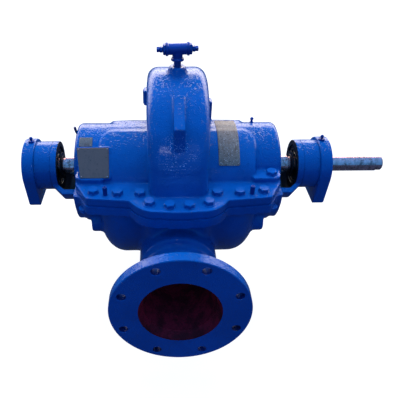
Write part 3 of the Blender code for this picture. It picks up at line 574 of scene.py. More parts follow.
# Cast body: shells fused by voxels, then smoothed; the fillet passes fill hollows only, so edges stay crisp
def castMesh(name, shells, look):
    mesh = putMesh(name, shells)
    turnFacesOut(mesh)
    source = addObject(name, mesh)
    step = source.modifiers.new("fuse", "REMESH")
    step.mode, step.voxel_size, step.adaptivity = "VOXEL", look["voxel"], 0.0
    mesh = settled(source)
    pairs = edgePairs(mesh)
    points = vertexPoints(mesh)
    count = np.bincount(pairs.ravel(), minlength=len(points)).astype(float)
    for share in castPasses["smooth"] * look["smoothing"]:
        points += share * (neighbourMean(points, pairs, count) - points)
    least, most = castPasses["hollow"]
    for turn in range(look["fillet"]):
        if turn % 3 == 0:
            normals = vertexNormals(mesh, points)
        pull = neighbourMean(points, pairs, count) - points
        hollow = np.sum(pull * normals, 1) / look["voxel"]
        points += castPasses["fill"] * pull * np.clip((hollow - least) / (most - least), 0, 1)[:, None]
    for share in castPasses["finish"] * castPasses["finishTurns"]:
        points += share * (neighbourMean(points, pairs, count) - points)
    normals = vertexNormals(mesh, points)
    points += normals * castSwell(points, look["swell"], castPasses["swellLength"])[:, None]
    mesh.vertices.foreach_set("co", points.astype(np.float32).ravel())
    mesh.update()
    return mesh


# Marks how hollow or how sharp each point of a mesh is, spread over its neighbours, for painted shade with
# grime and a painted highlight in the hollows, and for wear on the edges
def markShape(mesh, spread=3, scale=0.0009):
    pairs = edgePairs(mesh)
    points = vertexPoints(mesh)
    count = np.maximum(np.bincount(pairs.ravel(), minlength=len(points)), 1).astype(float)
    normals = vertexNormals(mesh, points)
    bend = np.sum((neighbourMean(points, pairs, count) - points) * normals, 1)[:, None]
    for turn in range(spread):
        bend = 0.5 * bend + 0.5 * neighbourMean(bend, pairs, count)
    for name, sign in (("crease", 1), ("edge", -1)):
        layer = mesh.attributes.get(name) or mesh.attributes.new(name, "FLOAT", "POINT")
        layer.data.foreach_set("value", np.clip(sign * bend[:, 0] / scale - 0.05, 0, 1).astype(np.float32))


# Finishes a piece: faces out, shading split at sharp edges, materials, body and the nodes it stands for
def addPiece(name, mesh, materials, body, nodes, sharp=38, marks=True):
    turnFacesOut(mesh)
    mesh.shade_smooth()
    mesh.set_sharp_from_angle(angle=math.radians(sharp))
    if marks:
        markShape(mesh)
    mesh.materials.clear()
    for finish in materials:
        mesh.materials.append(finish)
    made = addObject(name, mesh)
    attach(made, body)
    if nodes:
        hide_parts(*nodes)
    return made


def addShells(name, shells, materials, body, nodes=(), sharp=38, marks=False):
    return addPiece(name, putMesh(name, shells), materials, body, nodes, sharp, marks)


# Centres of a mesh's faces, measured from the shaft's axis
def faceCentres(mesh):
    centres = np.empty(len(mesh.polygons) * 3, np.float32)
    mesh.polygons.foreach_get("center", centres)
    return centres.reshape(-1, 3).astype(float) - (0, 0, shaftHeight)


# Gives the chosen faces another of the mesh's materials
def paintFaces(mesh, chosen, slot):
    index = np.empty(len(mesh.polygons), np.int32)
    mesh.polygons.foreach_get("material_index", index)
    mesh.polygons.foreach_set("material_index", np.where(chosen, slot, index).astype(np.int32))
    mesh.update()


# Smooth step between 0 and 1: three squares less two cubes
def ease(t):
    return t * t * (3 - 2 * t)


# Split flange, shared by both casings
splitFlange = {
    "thickness": 0.025, "end": 0.261, "endDepth": 0.128, "corner": (0.229, 0.1875), "cornerFront": 0.1925,
    "front": 0.2035, "shoulder": 0.120, "rearShoulder": 0.112, "bulgeHalf": 0.046, "frontBulge": 0.2475,
    "rearBulge": 0.300, "lowerRim": 0.0014, "groove": 0.0024, "gap": 0.00015, "shaftBore": 0.0285,
}


# Outline in (x, y): the right half, from its end to the bulges in front and behind, then its reflection; the
# front bulge rises as one less a falling power, the rear one as a smooth step
def flangeOutline(look, rim=0.0):
    def side(bulge, shoulder, steep):
        corner, edge = look["corner"], look["front"]
        t = np.linspace(0, 1, 25)[1:-1]
        reach = shoulder - look["bulgeHalf"]
        rise = 1 - (1 - t) ** 2.7 if steep else ease(t)
        blend = list(zip(shoulder - reach * t, edge + rim + (bulge - edge) * rise))
        outer = [(look["end"] + rim, look["endDepth"] + rim), (corner[0] + rim, corner[1] + rim),
                 (corner[0] - 0.006, look["cornerFront"] + rim), (shoulder, edge + rim)]
        middle = [(look["bulgeHalf"], bulge + rim), (look["bulgeHalf"] * 0.5, bulge + 0.003 + rim)]
        return outer + blend + middle

    front = side(look["frontBulge"], look["shoulder"], True)
    rear = side(look["rearBulge"], look["rearShoulder"], False)
    right = [(x, -y) for x, y in reversed(front)] + rear
    return right + [(-x, y) for x, y in reversed(right)]


# Upper casing
upperLook = {
    "voxel": 0.0027, "smoothing": 2, "fillet": 2, "swell": 0.0004,
    "archCentre": (0.035, 0.030), "archRadius": 0.2222, "archHalf": 0.074, "archEdge": 0.028,
    "archDraft": (0.955, 1.05),
    "archFoot": [(-0.008, -0.1965), (0.025, -0.1955), (0.060, -0.1873), (0.100, -0.1755)],
    "archFootTurn": 0.026,
    "lobeEnd": 0.269, "lobeDepth": 0.133, "lobeHeight": 0.120, "lobeTaper": 0.030, "lobeEdge": 0.012,
    "bandDepth": 0.098, "bandRise": 0.090, "bandCentre": 0.026, "bandFoot": 0.080,
    "panelReach": (0.199, 0.183), "panelTop": (79.5, 67.0), "panelRound": 0.030, "panelStep": 0.0130,
    "panelSlope": 0.55, "endLean": 0.0045,
    "ventDepth": 0.030, "bossTop": 0.270, "ventHole": (0.0125, 0.0108),
    "boss": [(0.210, 0.066), (0.232, 0.046), (0.245, 0.0340), (0.254, 0.0270), (0.261, 0.0230),
             (0.269, 0.0205), (0.270, 0.0195)],
    "ribHalf": (-0.0128, 0.0142),
    "ribSide": [(-0.067, 0.2355), (-0.157, 0.190), (-0.162, 0.137), (-0.110, 0.137), (-0.045, 0.205)],
    "lug": [(0.020, 0.040), (-0.012, 0.044), (-0.0165, 0.060), (-0.013, 0.073), (0.020, 0.077)],
    "lugSpan": (0.157, 0.198),
    "sideBox": ((-0.020, 0.045, 0.109), (0.0205, 0.075, 0.166)),
    "padTop": 0.041, "padInner": 0.190, "padOuter": 0.262, "padFront": 0.1355, "padRear": 0.085,
    "padRound": 0.022,
    "plateCentre": (-0.2125, -0.1045, 0.0705), "plateTilt": 40.0, "plateHalf": (0.0402, 0.0366, 0.0388),
    "plateShear": 0.065, "plateMean": 0.04, "margin": 0.0030,
}


# Share of the raised panel at x and angle t: inside a rectangle with one rounded upper corner, wider in front
def panelShare(x, t, look):
    front = np.cos(t) < 0
    reach = np.where(front, *look["panelReach"]) - np.abs(x)
    angle = np.where(np.sin(t) > 0, np.arccos(np.minimum(1, np.abs(np.cos(t)))), 0.0)
    climb = (np.radians(np.where(front, *look["panelTop"])) - angle) * look["bandDepth"] * look["panelSlope"]
    turn = look["panelRound"]
    inside = turn - np.hypot(np.maximum(turn - reach, 0), np.maximum(turn - climb, 0))
    return ease(np.clip(inside / look["panelStep"] + 0.5, 0, 1))


# Lobe surface at x and angle t from +Y about the barrel's centre: a round barrel, and on it the panel, which
# is part of a wider ellipse about the shaft; below the centre both walls run down and close
def lobePoint(x, t, rise=0.0, look=upperLook):
    along = np.maximum(0, np.abs(x) - look["archHalf"]) / (look["lobeEnd"] - look["archHalf"])
    taper = 1 - look["lobeTaper"] * along
    depth, height, centre = look["lobeDepth"] * taper, look["lobeHeight"] * taper, look["bandCentre"]
    above = np.sin(t) >= 0
    cosine, sine = np.where(above, np.cos(t), 1.0), np.where(above, np.sin(t), 0.0)
    a = (cosine / depth) ** 2 + (sine / height) ** 2
    b = centre * sine / height ** 2
    panel = (np.sqrt(b * b - a * ((centre / height) ** 2 - 1)) - b) / a
    barrel = 1 / np.hypot(cosine / look["bandDepth"], sine / look["bandRise"])
    radius = barrel + (panel - barrel) * panelShare(x, t, look) + rise
    return radius * np.cos(t), centre + np.where(above, radius, look["bandFoot"]) * np.sin(t)


# Lobes: that surface carried along the shaft; both ends lean inwards and close in a small quarter round
def lobeShell(look):
    a = np.linspace(0, math.pi / 2, 7)
    start = look["lobeEnd"] - look["lobeEdge"] - 0.001
    rim = look["lobeEnd"] - look["lobeEdge"] * (1 - np.cos(a))
    x = np.concatenate([rim, np.linspace(start, look["archHalf"] - 0.01, 130)])
    inset = np.concatenate([look["lobeEdge"] * (1 - np.sin(a)), np.zeros(130)])
    x, inset = np.concatenate([-x, x[::-1]])[:, None], np.concatenate([inset, inset[::-1]])[:, None]
    t = np.linspace(0, tau, 400, endpoint=False)[None]
    y, z = lobePoint(x, t, -inset, look)
    climb = np.clip((z - 0.03) / 0.08, 0, 1)
    lean = look["endLean"] * climb * ease(np.clip((np.abs(x) - 0.235) / 0.030, 0, 1))
    return ringShell(np.stack([x - np.sign(x) * lean, y, z], -1))


# Disc about a line along X, its rim edges rounded by quarter circles
def roundedDisc(centre, radius, half, edge, sides=260):
    a = np.linspace(0, math.pi / 2, 9)
    left = list(zip(-half + edge * (1 - np.cos(a)), radius - edge + edge * np.sin(a)))
    profile = left + [(-x, r) for x, r in reversed(left)]
    return latheShell(profile, sides, "x", (0, *centre))


# Bolt pad at a lobe's end: a rectangle with one quarter round corner
def endPadOutline(look, inset):
    outer, front = look["padOuter"] - inset, look["padFront"] - inset
    a = np.linspace(0, math.pi / 2, 9)
    turn = look["padRound"] - inset
    arc = list(zip(outer - turn * (1 - np.cos(a)), front - turn * (1 - np.sin(a))))
    inner, rear = look["padInner"], look["padRear"]
    return np.array([(inner, rear), (outer, rear)] + arc + [(inner, front)])


def endPadShells(look):
    shells = []
    for sx in (-1, 1):
        for sy in (-1, 1):
            rows = []
            for z, inset in ((-0.004, 0.0), (look["padTop"] - 0.002, 0.0012), (look["padTop"], 0.0035)):
                outline = endPadOutline(look, inset) * (sx, sy)
                rows.append(np.column_stack([outline, np.full(len(outline), z)]))
            shells.append(ringShell(np.array(rows)))
    return shells


# Turns a shape drawn in the plate's own plane to its place on the left lobe
def onPlate(points, look=upperLook):
    a = math.radians(-look["plateTilt"])
    turn = np.array([[1, 0, 0], [0, math.cos(a), -math.sin(a)], [0, math.sin(a), math.cos(a)]])
    sheared = points - np.outer(points[:, 2] * look["plateShear"], (1, 0, 0))
    return sheared @ turn.T + look["plateCentre"]


# Nameplate in its own plane: a trapezium with quarter round corners
def plateOutline(look, margin, radius, steps=5):
    top, foot, half = (size + margin for size in look["plateHalf"])
    corners = [(top, half), (-top, half), (-foot, -half), (foot, -half)]
    points = []
    for k, (x, z) in enumerate(corners):
        a = np.linspace(0, math.pi / 2, steps) + k * math.pi / 2
        sx, sz = math.copysign(1, x), math.copysign(1, z)
        points += list(zip(x - sx * radius + radius * np.cos(a), z - sz * radius + radius * np.sin(a)))
    return np.array(points)


# That outline drawn out from far to near, shrunk towards its middle at the near edge
def plateShell(look, margin, near, far, radius, edge=0.0):
    outline = plateOutline(look, margin, radius)
    middle = outline.mean(0)
    rows = []
    for y, inset in ((far, 0), (near + edge, 0), (near, edge)):
        shrink = middle + (outline - middle) * (1 - inset / look["plateMean"])
        rows.append(onPlate(np.column_stack([shrink[:, 0], np.full(len(shrink), y), shrink[:, 1]]), look))
    return ringShell(np.array(rows))


# Side profile in (y, z) carried along X
def sidePrism(outline, x0, x1):
    rows = [[(x, y, z) for y, z in outline] for x in (x0, x1)]
    return ringShell(np.array(rows, float))


# Foot of the arch: rounded rectangles whose front leans back with height until it meets the round arch
def archFootShell(look):
    half, turn = look["archHalf"] - 0.001, look["archFootTurn"]
    a = np.linspace(0, math.pi / 2, 9)
    rows = []
    for z, front in look["archFoot"]:
        corner = np.column_stack([half - turn + turn * np.sin(a), front + turn - turn * np.cos(a)])
        outline = np.concatenate([corner, [(half, -0.09), (-half, -0.09)], corner[::-1] * (-1, 1)])
        rows.append(np.column_stack([outline, np.full(len(outline), z)]))
    return ringShell(np.array(rows))


def makeUpperCasing(look):
    outline = flangeOutline(splitFlange)
    y, top = look["ventDepth"], look["bossTop"]
    half, groove = look["archHalf"], splitFlange["groove"]
    arch = roundedDisc(look["archCentre"], look["archRadius"], half, look["archEdge"])
    arch[0][:, 0] *= np.interp(arch[0][:, 2], (0.03, 0.20), look["archDraft"])
    lug = [(x - half, depth) for x, depth in look["lug"]]
    low, high = look["sideBox"]
    shells = [
        arch, lobeShell(look), latheShell(look["boss"], 72, "z", (0, y, 0)),
        sidePrism(look["ribSide"], *look["ribHalf"]), archFootShell(look),
        prismShell(lug, [(z, 0) for z in look["lugSpan"]]),
        boxShell((half + low[0], *low[1:]), (half + high[0], *high[1:])),
        prismShell(outline, [(-0.012, groove), (0.0018, groove), (0.0042, 0), (splitFlange["thickness"], 0)]),
        plateShell(look, look["margin"], 0.0, 0.034, 0.004),
    ] + endPadShells(look)
    mesh = castMesh("upperCasing", shells, look)
    below = boxShell((-1, -1, -1), (1, 1, splitFlange["gap"]))
    bore = latheShell([(-1, splitFlange["shaftBore"]), (1, splitFlange["shaftBore"])], 64)
    deep, hole = look["ventHole"]
    vent = latheShell([(top - deep, hole), (0.35, hole)], 32, "z", (0, y, 0))
    mesh = cutMesh(mesh, [[below], [bore], [vent]])
    return addPiece("upperCasing", mesh, [blueEnamel], "casing", ["upper_casing"])


makeUpperCasing(upperLook)
print("upper casing made")


# Lower casing: bowl, volute, end plates, suction and discharge branches, pedestal and lower split flange
lowerLook = {
    "voxel": 0.0034, "smoothing": 3, "fillet": 24, "swell": 0.0005,
    "bowl": (0.190, 0.221, 0.040), "bowlFlat": 0.140, "bowlEdge": 0.065, "bowlShare": 0.295,
    "endPlates": [(0.266, 0.150, 0.095), (0.246, 0.1535, 0.106)],  # reach, radius, depth of the flat cut
    "voluteCentre": (0.015, -0.065), "voluteRadius": 0.222, "voluteHalf": 0.088, "voluteEdge": 0.034,
    "foot": (0.118, -0.130, 0.170, 0.026), "footChamfer": 0.002,
    "column": (0.076, -0.112, 0.152), "columnTop": -0.150,
    "footHoles": (0.099, -0.108, 0.148, 0.009),
    "ear": (0.120, 0.229, -0.115, -0.104, 0.030),
}
dischargeLook = {
    "face": 0.380, "drop": 0.175, "radius": 0.170, "thickness": 0.028,
    "circle": 0.1475, "bolts": 8, "hole": 0.011,
    "bore": [(-0.352, 0.090), (-0.310, 0.081), (-0.105, 0.074)],
    "neck": 0.096, "collar": 0.114, "root": 0.083,
    "mouth": [(-0.50, 0.1005), (-0.3785, 0.100), (-0.374, 0.0995), (-0.352, 0.0900), (-0.330, 0.0856)],
    "collarFace": 0.243, "collarNarrow": 0.88,
}
suctionLook = {
    "face": 0.340, "drop": 0.215, "radius": 0.1975, "thickness": 0.030,
    "circle": 0.175, "bolts": 12, "hole": 0.011,
    "neck": 0.145, "bore": (0.116, 0.125), "floor": 0.140,
    "mouth": [(0.290, 0.1213), (0.339, 0.125), (0.40, 0.1262)],
    # where the branch is, its half width and half height, its middle and the power of its superellipse
    "sections": [(0.320, 0.145, 0.145, 0.0, 2.0), (0.270, 0.145, 0.145, 0.0, 2.0),
                 (0.215, 0.160, 0.146, 0.006, 2.2), (0.150, 0.186, 0.132, 0.022, 2.6),
                 (0.090, 0.194, 0.108, 0.045, 2.8), (0.020, 0.180, 0.070, 0.060, 2.8)],
}


# Bowl: ellipses along the shaft that shrink as quarter ellipses at both ends
def bowlShell(look):
    depth, height, drop = look["bowl"]
    a = np.linspace(0, math.pi / 2, 15)
    x = look["bowlFlat"] + look["bowlEdge"] * np.cos(a)
    share = 1 - look["bowlShare"] * (1 - np.sin(a))
    x, share = np.concatenate([-x, x[::-1]]), np.concatenate([share, share[::-1]])
    t = np.linspace(0, tau, 220, endpoint=False)
    y = share[:, None] * depth * np.cos(t)
    z = share[:, None] * (height * np.sin(t) - drop)
    return ringShell(np.stack([x[:, None] + 0 * t, y, z], -1))


# End plates: discs about the shaft with a flat cut below, which run through the bowl
def endPlateShells(look):
    shells = []
    for reach, radius, cut in look["endPlates"]:
        a = np.linspace(-math.asin(cut / radius), math.pi + math.asin(cut / radius), 160)
        rows = []
        for x, inset in ((-reach, 0.004), (-reach + 0.004, 0), (reach - 0.004, 0), (reach, 0.004)):
            r = radius - inset
            rows.append(np.column_stack([np.full(len(a), x), r * np.cos(a), r * np.sin(a)]))
        shells.append(ringShell(np.array(rows)))
    return shells


# Suction branch: superellipses whose power and half axes change from a circle to a wide rounded box
def suctionShell(look):
    sections = np.array(look["sections"])
    y = np.linspace(sections[0, 0], sections[-1, 0], 60)
    columns = [np.interp(y, sections[::-1, 0], sections[::-1, k])[:, None] for k in (1, 2, 3, 4)]
    width, height, middle, power = columns
    t = np.linspace(0, tau, 200, endpoint=False)
    c, s = np.cos(t), np.sin(t)
    size = (np.abs(c) ** power + np.abs(s) ** power) ** (-1 / power)
    z = middle - look["drop"] + height * s * size
    return ringShell(np.stack([width * c * size, y[:, None] + 0 * t, z], -1))


# Discharge neck: a round branch, and an oval collar behind it that is narrower across than it is tall
def dischargeNeckShells(look):
    back, neck, end = -look["face"] + look["thickness"], look["neck"], -look["root"]
    face, wide = -look["collarFace"], look["collar"]
    branchRows = [(back - 0.006, neck + 0.002), (back + 0.010, neck), (end, neck)]
    collarRows = [(face - 0.012, neck - 0.006), (face - 0.004, wide - 0.007), (face, wide - 0.002),
                  (face + 0.003, wide), (end, wide)]
    branch, collar = (latheShell(rows, 160, "y", (0, 0, -look["drop"])) for rows in (branchRows, collarRows))
    collar[0][:, 0] *= look["collarNarrow"]
    return [branch, collar]


# Walls of the bolt holes, away from both faces of the flange
def holeWalls(mesh, look, facing):
    x, y, z = faceCentres(mesh).T
    z = z + look["drop"]
    turn = (np.arctan2(z, x) / tau * look["bolts"]) % 1 - 0.5
    away = np.hypot(np.hypot(x, z) - look["circle"], turn * tau / look["bolts"] * look["circle"])
    deep = np.abs(y - facing * look["face"])
    return (away < look["hole"] + 0.0006) & (deep > 0.0006) & (deep < look["thickness"] - 0.0006)


# Walls of the nozzle's bore: nearer its axis than the bore's own radius, and behind the flange's face
def boreWalls(mesh, look, bore):
    x, y, z = faceCentres(mesh).T
    rows = np.array(sorted(bore))
    limit = np.interp(y, rows[:, 0], rows[:, 1]) + 0.0008
    away = np.hypot(x, z + look["drop"])
    return (away < limit) & (y > rows[0, 0] - 0.003) & (y < rows[-1, 0]) & (np.abs(y) < look["face"] - 0.0005)


# Both flanges: the fillet behind them as (distance behind, rise over the neck), then chamfer and hole edge
flangeLook = {
    "fillet": [(0.012, 0), (0.006, 0.0015), (0.001, 0.008), (0, 0.014)], "rise": 0.002,
    "chamfer": 0.0018, "lip": 0.001,
}


# Nozzle flange: a turned disc with chamfered rims, its bore and bolt holes cut with small countersinks
def makeFlange(name, look, facing, primer, nodes):
    face, back = facing * look["face"], facing * (look["face"] - look["thickness"])
    rim, neck = look["radius"], look["neck"] + flangeLook["rise"]
    chamfer, lip = flangeLook["chamfer"], flangeLook["lip"]
    profile = [(back - facing * behind, neck + rise) for behind, rise in flangeLook["fillet"]]
    profile += [(back, rim - chamfer), (back + facing * chamfer, rim), (face - facing * chamfer, rim),
                (face, rim - chamfer)]
    centre = (0, 0, -look["drop"])
    body = putMesh(name, [latheShell(profile, 256, "y", centre)])
    tools = [[latheShell(look["mouth"], 200, "y", centre)]]
    low, high = sorted((face, back))
    hole, wide = look["hole"], look["hole"] + lip + 0.01
    rows = [(low - 0.01, wide), (low + lip, hole), (high - lip, hole), (high + 0.01, wide)]
    for k in range(look["bolts"]):
        a = tau * (k + 0.5) / look["bolts"]
        place = (look["circle"] * math.cos(a), 0, look["circle"] * math.sin(a) - look["drop"])
        tools.append([latheShell(rows, 40, "y", place)])
    mesh = cutMesh(body, tools, "EXACT")
    finishes = [blueEnamel, primer, coverEnamel]
    piece = addPiece(name, mesh, finishes, "casing", nodes, 30, marks=False)
    paintFaces(piece.data, boreWalls(piece.data, look, look["mouth"]), 1)
    # Bolt hole walls take the darker enamel: painted shade in the holes
    paintFaces(piece.data, holeWalls(piece.data, look, facing), 2)
    return piece


# Foot plate with a small chamfer on top, and the column that stands on it
def pedestalShells(look):
    floor = -shaftHeight
    halfWidth, front, rear, thick = look["foot"]
    columnHalf, columnFront, columnRear = look["column"]
    column = [(-columnHalf, columnFront), (columnHalf, columnFront), (columnHalf, columnRear),
              (-columnHalf, columnRear)]
    foot = [(-halfWidth, front), (halfWidth, front), (halfWidth, rear), (-halfWidth, rear)]
    top, chamfer = floor + thick, look["footChamfer"]
    return [prismShell(column, [(floor + 0.004, 0), (look["columnTop"], 0)]),
            prismShell(foot, [(floor - 0.010, 0), (top - chamfer, 0), (top, chamfer)])]


# Lifting ears: short round bars with a chamfered end
def earShells(look):
    start, end, y, z, radius = look["ear"]
    rows = [(0, radius), (0.97, radius), (1, radius - 0.003)]
    return [barShell((sx * start, y, z), (sx * end, y, z), rows) for sx in (-1, 1)]


def makeLowerCasing(look):
    floor = -shaftHeight
    outline = flangeOutline(splitFlange, splitFlange["lowerRim"])
    shells = [
        bowlShell(look), suctionShell(suctionLook),
        roundedDisc(look["voluteCentre"], look["voluteRadius"], look["voluteHalf"], look["voluteEdge"]),
        prismShell(outline, [(-splitFlange["thickness"], 0), (0.012, 0)]),
    ] + pedestalShells(look) + dischargeNeckShells(dischargeLook) + endPlateShells(look) + earShells(look)
    mesh = castMesh("lowerCasing", shells, look)
    above = boxShell((-1, -1, -splitFlange["gap"]), (1, 1, 1))
    under = boxShell((-1, -1, -1), (1, 1, floor))
    bore = latheShell([(-1, splitFlange["shaftBore"]), (1, splitFlange["shaftBore"])], 64)
    d, s = dischargeLook, suctionLook
    outletRows = [(-0.5, 0.0905), (-0.352, 0.090)] + d["bore"][1:]
    inletRows = [(s["floor"], s["bore"][0]), (0.35, s["bore"][1] + 0.0003)]
    outlet = latheShell(outletRows, 160, "y", (0, 0, -d["drop"]))
    inlet = latheShell(inletRows, 160, "y", (0, 0, -s["drop"]))
    trimFront = boxShell((-1, -1, -0.40), (1, -d["face"] + d["thickness"] - 0.004, -0.03))
    trimRear = boxShell((-1, s["face"] - s["thickness"] + 0.004, -0.44), (1, 1, -0.02))
    tools = [[above], [under], [bore], [outlet], [inlet], [trimFront], [trimRear]]
    holeX, holeFront, holeRear, holeRadius = look["footHoles"]
    holeRows = [(floor - 0.01, holeRadius), (floor + 0.05, holeRadius)]
    for sx in (-1, 1):
        tools += [[latheShell(holeRows, 32, "z", (sx * holeX, y, 0))] for y in (holeFront, holeRear)]
    mesh = cutMesh(mesh, tools)
    finishes = [blueEnamel, outletPrimer, inletPrimer]
    piece = addPiece("lowerCasing", mesh, finishes, "casing", ["lower_casing"])
    paintFaces(piece.data, boreWalls(piece.data, d, outletRows), 1)
    paintFaces(piece.data, boreWalls(piece.data, s, inletRows), 2)
    return piece


makeLowerCasing(lowerLook)
makeFlange("dischargeFlange", dischargeLook, -1, outletPrimer, ["lower_casing"])
makeFlange("suctionFlange", suctionLook, 1, inletPrimer, ["lower_casing"])
print("lower casing made")


# Bearing bracket: trough arm swept under the shaft, fused to a recessed housing drum with a cut groove
bracketLook = {
    "voxel": 0.0019, "smoothing": 2, "fillet": 8, "swell": 0.0003,
    "start": 0.2665, "outer": 0.0945, "wall": 0.016, "rim": 23.0,
    "housing": 0.0660, "span": (0.321, 0.380), "recess": 0.052, "recessFloor": 0.352, "bore": 0.0206,
    "groove": (0.338, 0.0010, 0.0012),  # middle, half width, depth
    "armEnds": (0.305, 0.308, 0.333, 0.337, 0.346),
}


# Closed (x, radius) section carried round the shaft between two angles in degrees
def sweptShell(section, start, end, steps):
    a = np.radians(np.linspace(start, end, steps))[:, None]
    x, r = np.asarray(section, float).T
    return ringShell(np.stack([x + 0 * a, r * np.cos(a), r * np.sin(a)], -1))


# Reflected for the left end, as drawn for the right
def sideShells(side, shells):
    return [mirroredShell(shell) for shell in shells] if side == "left" else shells


def makeBracket(side, look):
    housing, wall, floor = look["housing"], look["housing"] - look["recess"], look["recessFloor"]
    outer, inner, start = look["outer"], look["outer"] - look["wall"], look["start"]
    lining, skin = housing - wall + 0.003, housing - 0.0004
    innerBend, outerBend, innerEnd, outerEnd, end = look["armEnds"]
    section = [(start, outer), (outerBend, outer), (outerEnd, skin), (end, skin),
               (end, lining), (innerEnd, lining), (innerBend, inner), (start, inner)]
    x0, x1 = look["span"]
    core = look["bore"] - 0.004
    drum = [(x0, look["recess"]), (x0, housing), (x1 + 0.004, housing), (x1 + 0.004, core), (floor, core),
            (floor, look["recess"])]
    arm = sweptShell(section, 180 + look["rim"], 360 - look["rim"], 90)
    middle, half, deep = look["groove"]
    bottom, above = housing - deep, housing + 0.004
    ring = [(middle - half, bottom), (middle - half, above), (middle + half, above), (middle + half, bottom)]
    tools = [[latheShell([(floor - 0.01, look["bore"]), (0.5, look["bore"])], 72)],
             [boxShell((x1, -0.2, -0.2), (x1 + 0.1, 0.2, 0.2))], [latheShell(ring, 160, loop=True)]]
    shells = sideShells(side, [arm, latheShell(drum, 160, loop=True)])
    mesh = cutMesh(castMesh("bracket", shells, look), [sideShells(side, tool) for tool in tools])
    finishes = [blueEnamel, oilyCoverAndShade]
    name, node = "bearingBracket_" + side, "bearing_bracket_" + side
    piece = addPiece(name, mesh, finishes, "casing", [node])
    # The inside of the trough and of the housing's recess takes the dark oily cover: oil stain with painted
    # shade
    x, y, z = faceCentres(piece.data).T
    limit = np.interp(np.abs(x), (innerBend, innerEnd, 0.350), (inner, lining, look["recess"])) + 0.0012
    paintFaces(piece.data, (np.hypot(y, z) < limit) & (np.abs(x) < floor + 0.001), 1)


# Bearing block with its flat foot, and the covers on both sides of it
blockLook = {
    "span": (0.3803, 0.411), "radius": 0.074, "footHalf": 0.060, "footDrop": 0.097, "footCorner": 0.006,
    "edge": 0.0028, "cover": 0.052, "coverThickness": 0.0028, "coverBore": 0.0208, "screws": 4,
    "screwCircle": 0.0435, "screwFlats": 0.010, "screwHead": 0.0030,
    "lip": [(-0.0005, 0.0215), (-0.0005, 0.034), (0.0022, 0.032), (0.0030, 0.0305), (0.0030, 0.0225)],
    "dome": [(-0.0005, 0.034), (0.0018, 0.033), (0.0030, 0.030), (0.0030, 0.004)],
    "inside": [(0, 0.0225), (0, 0.0310), (0.0015, 0.0325), (0.0015, 0.0450), (0, 0.0465), (0, 0.0508),
               (0.0008, 0.0516)],
    "insideScrews": (0.0388, 0.008, 0.0032), "insideStep": 0.0016, "insideBack": (0.0516, 0.0225),
}


# Block in (y, z): an arc over the shaft, then straight sides down to a foot with cut corners
def blockOutline(look):
    a = np.radians(np.linspace(-8, 188, 90))
    r, half, drop, corner = look["radius"], look["footHalf"], look["footDrop"], look["footCorner"]
    arc = list(zip(r * np.cos(a), r * np.sin(a)))
    return arc + [(-half, -drop + corner), (-half + corner, -drop), (half - corner, -drop),
                  (half, -drop + corner)]


def makeBlock(side, look):
    radiusAt = radiusOfOutline(blockOutline(look))
    body = polarPlate(radiusAt, bracketLook["bore"], *look["span"], look["edge"], 360, 7)
    name, node = "bearingBlock_" + side, "bearing_block_" + side
    addShells(name, sideShells(side, [body]), [blueEnamel], "casing", [node], 40)


# Small hexagon screws on a circle about the shaft, their heads standing on a face across X
def screwShells(x, circle, count, flats, height, outward=1):
    turn = [[0, 0, outward], [0, 1, 0], [-outward, 0, 0]]
    shells = []
    for k in range(count):
        a = tau * (k + 0.5) / count
        place = (x, circle * math.cos(a), circle * math.sin(a))
        shells.append(turnedShell(hexShell(flats, 0, height, 0.0008), turn, place))
    return shells


# Rows of a profile moved along the shaft
def movedRows(rows, x):
    return [(x + along, radius) for along, radius in rows]


# End cover: a disc with screws, and a lip round the shaft at the drive end or a low dome at the other
def makeEndCover(side, look):
    near = look["span"][1] + 0.0003
    face = near + look["coverThickness"]
    bore = look["coverBore"] if side == "right" else 0.0
    disc = polarPlate(lambda t: np.full(len(t), look["cover"]), bore, near, face, 0.0012, 160, 5)
    flats, head = look["screwFlats"], look["screwHead"]
    screws = screwShells(face - 0.0001, look["screwCircle"], look["screws"], flats, head)
    if side == "right":
        raised = latheShell(movedRows(look["lip"], face), 120, loop=True)
    else:
        raised = latheShell(movedRows(look["dome"], face), 120)
    shells = sideShells(side, [disc] + screws + [raised])
    addShells("endCover_" + side, shells, [blueEnamel], "casing", ["end_cover_" + side], 40)


# Inner cover: a turned plug in the housing's recess, with four screws that face the pump
def makeInnerCover(side, look):
    floor, front = bracketLook["recessFloor"] - 0.0003, bracketLook["span"][0] + 0.0035
    rows = movedRows(look["inside"], front) + [(floor, radius) for radius in look["insideBack"]]
    circle, flats, height = look["insideScrews"]
    screws = screwShells(front + look["insideStep"], circle, 4, flats, height, -1)
    shells = [latheShell(rows, 140, loop=True)] + screws
    name, node = "innerCover_" + side, "inner_cover_" + side
    addShells(name, sideShells(side, shells), [oilyCoverAndShade], "casing", [node], 40)


# Gland follower: turned nose, oval flange and collar, drawn in by two studs with nuts
glandLook = {
    "face": 0.2705, "thickness": 0.0060, "nose": 0.0280, "noseLength": 0.026, "bore": 0.0235,
    "oval": (0.052, 0.036), "collar": 0.0295, "studs": 0.0425, "stud": 0.0038, "nut": (0.013, 0.0065),
}


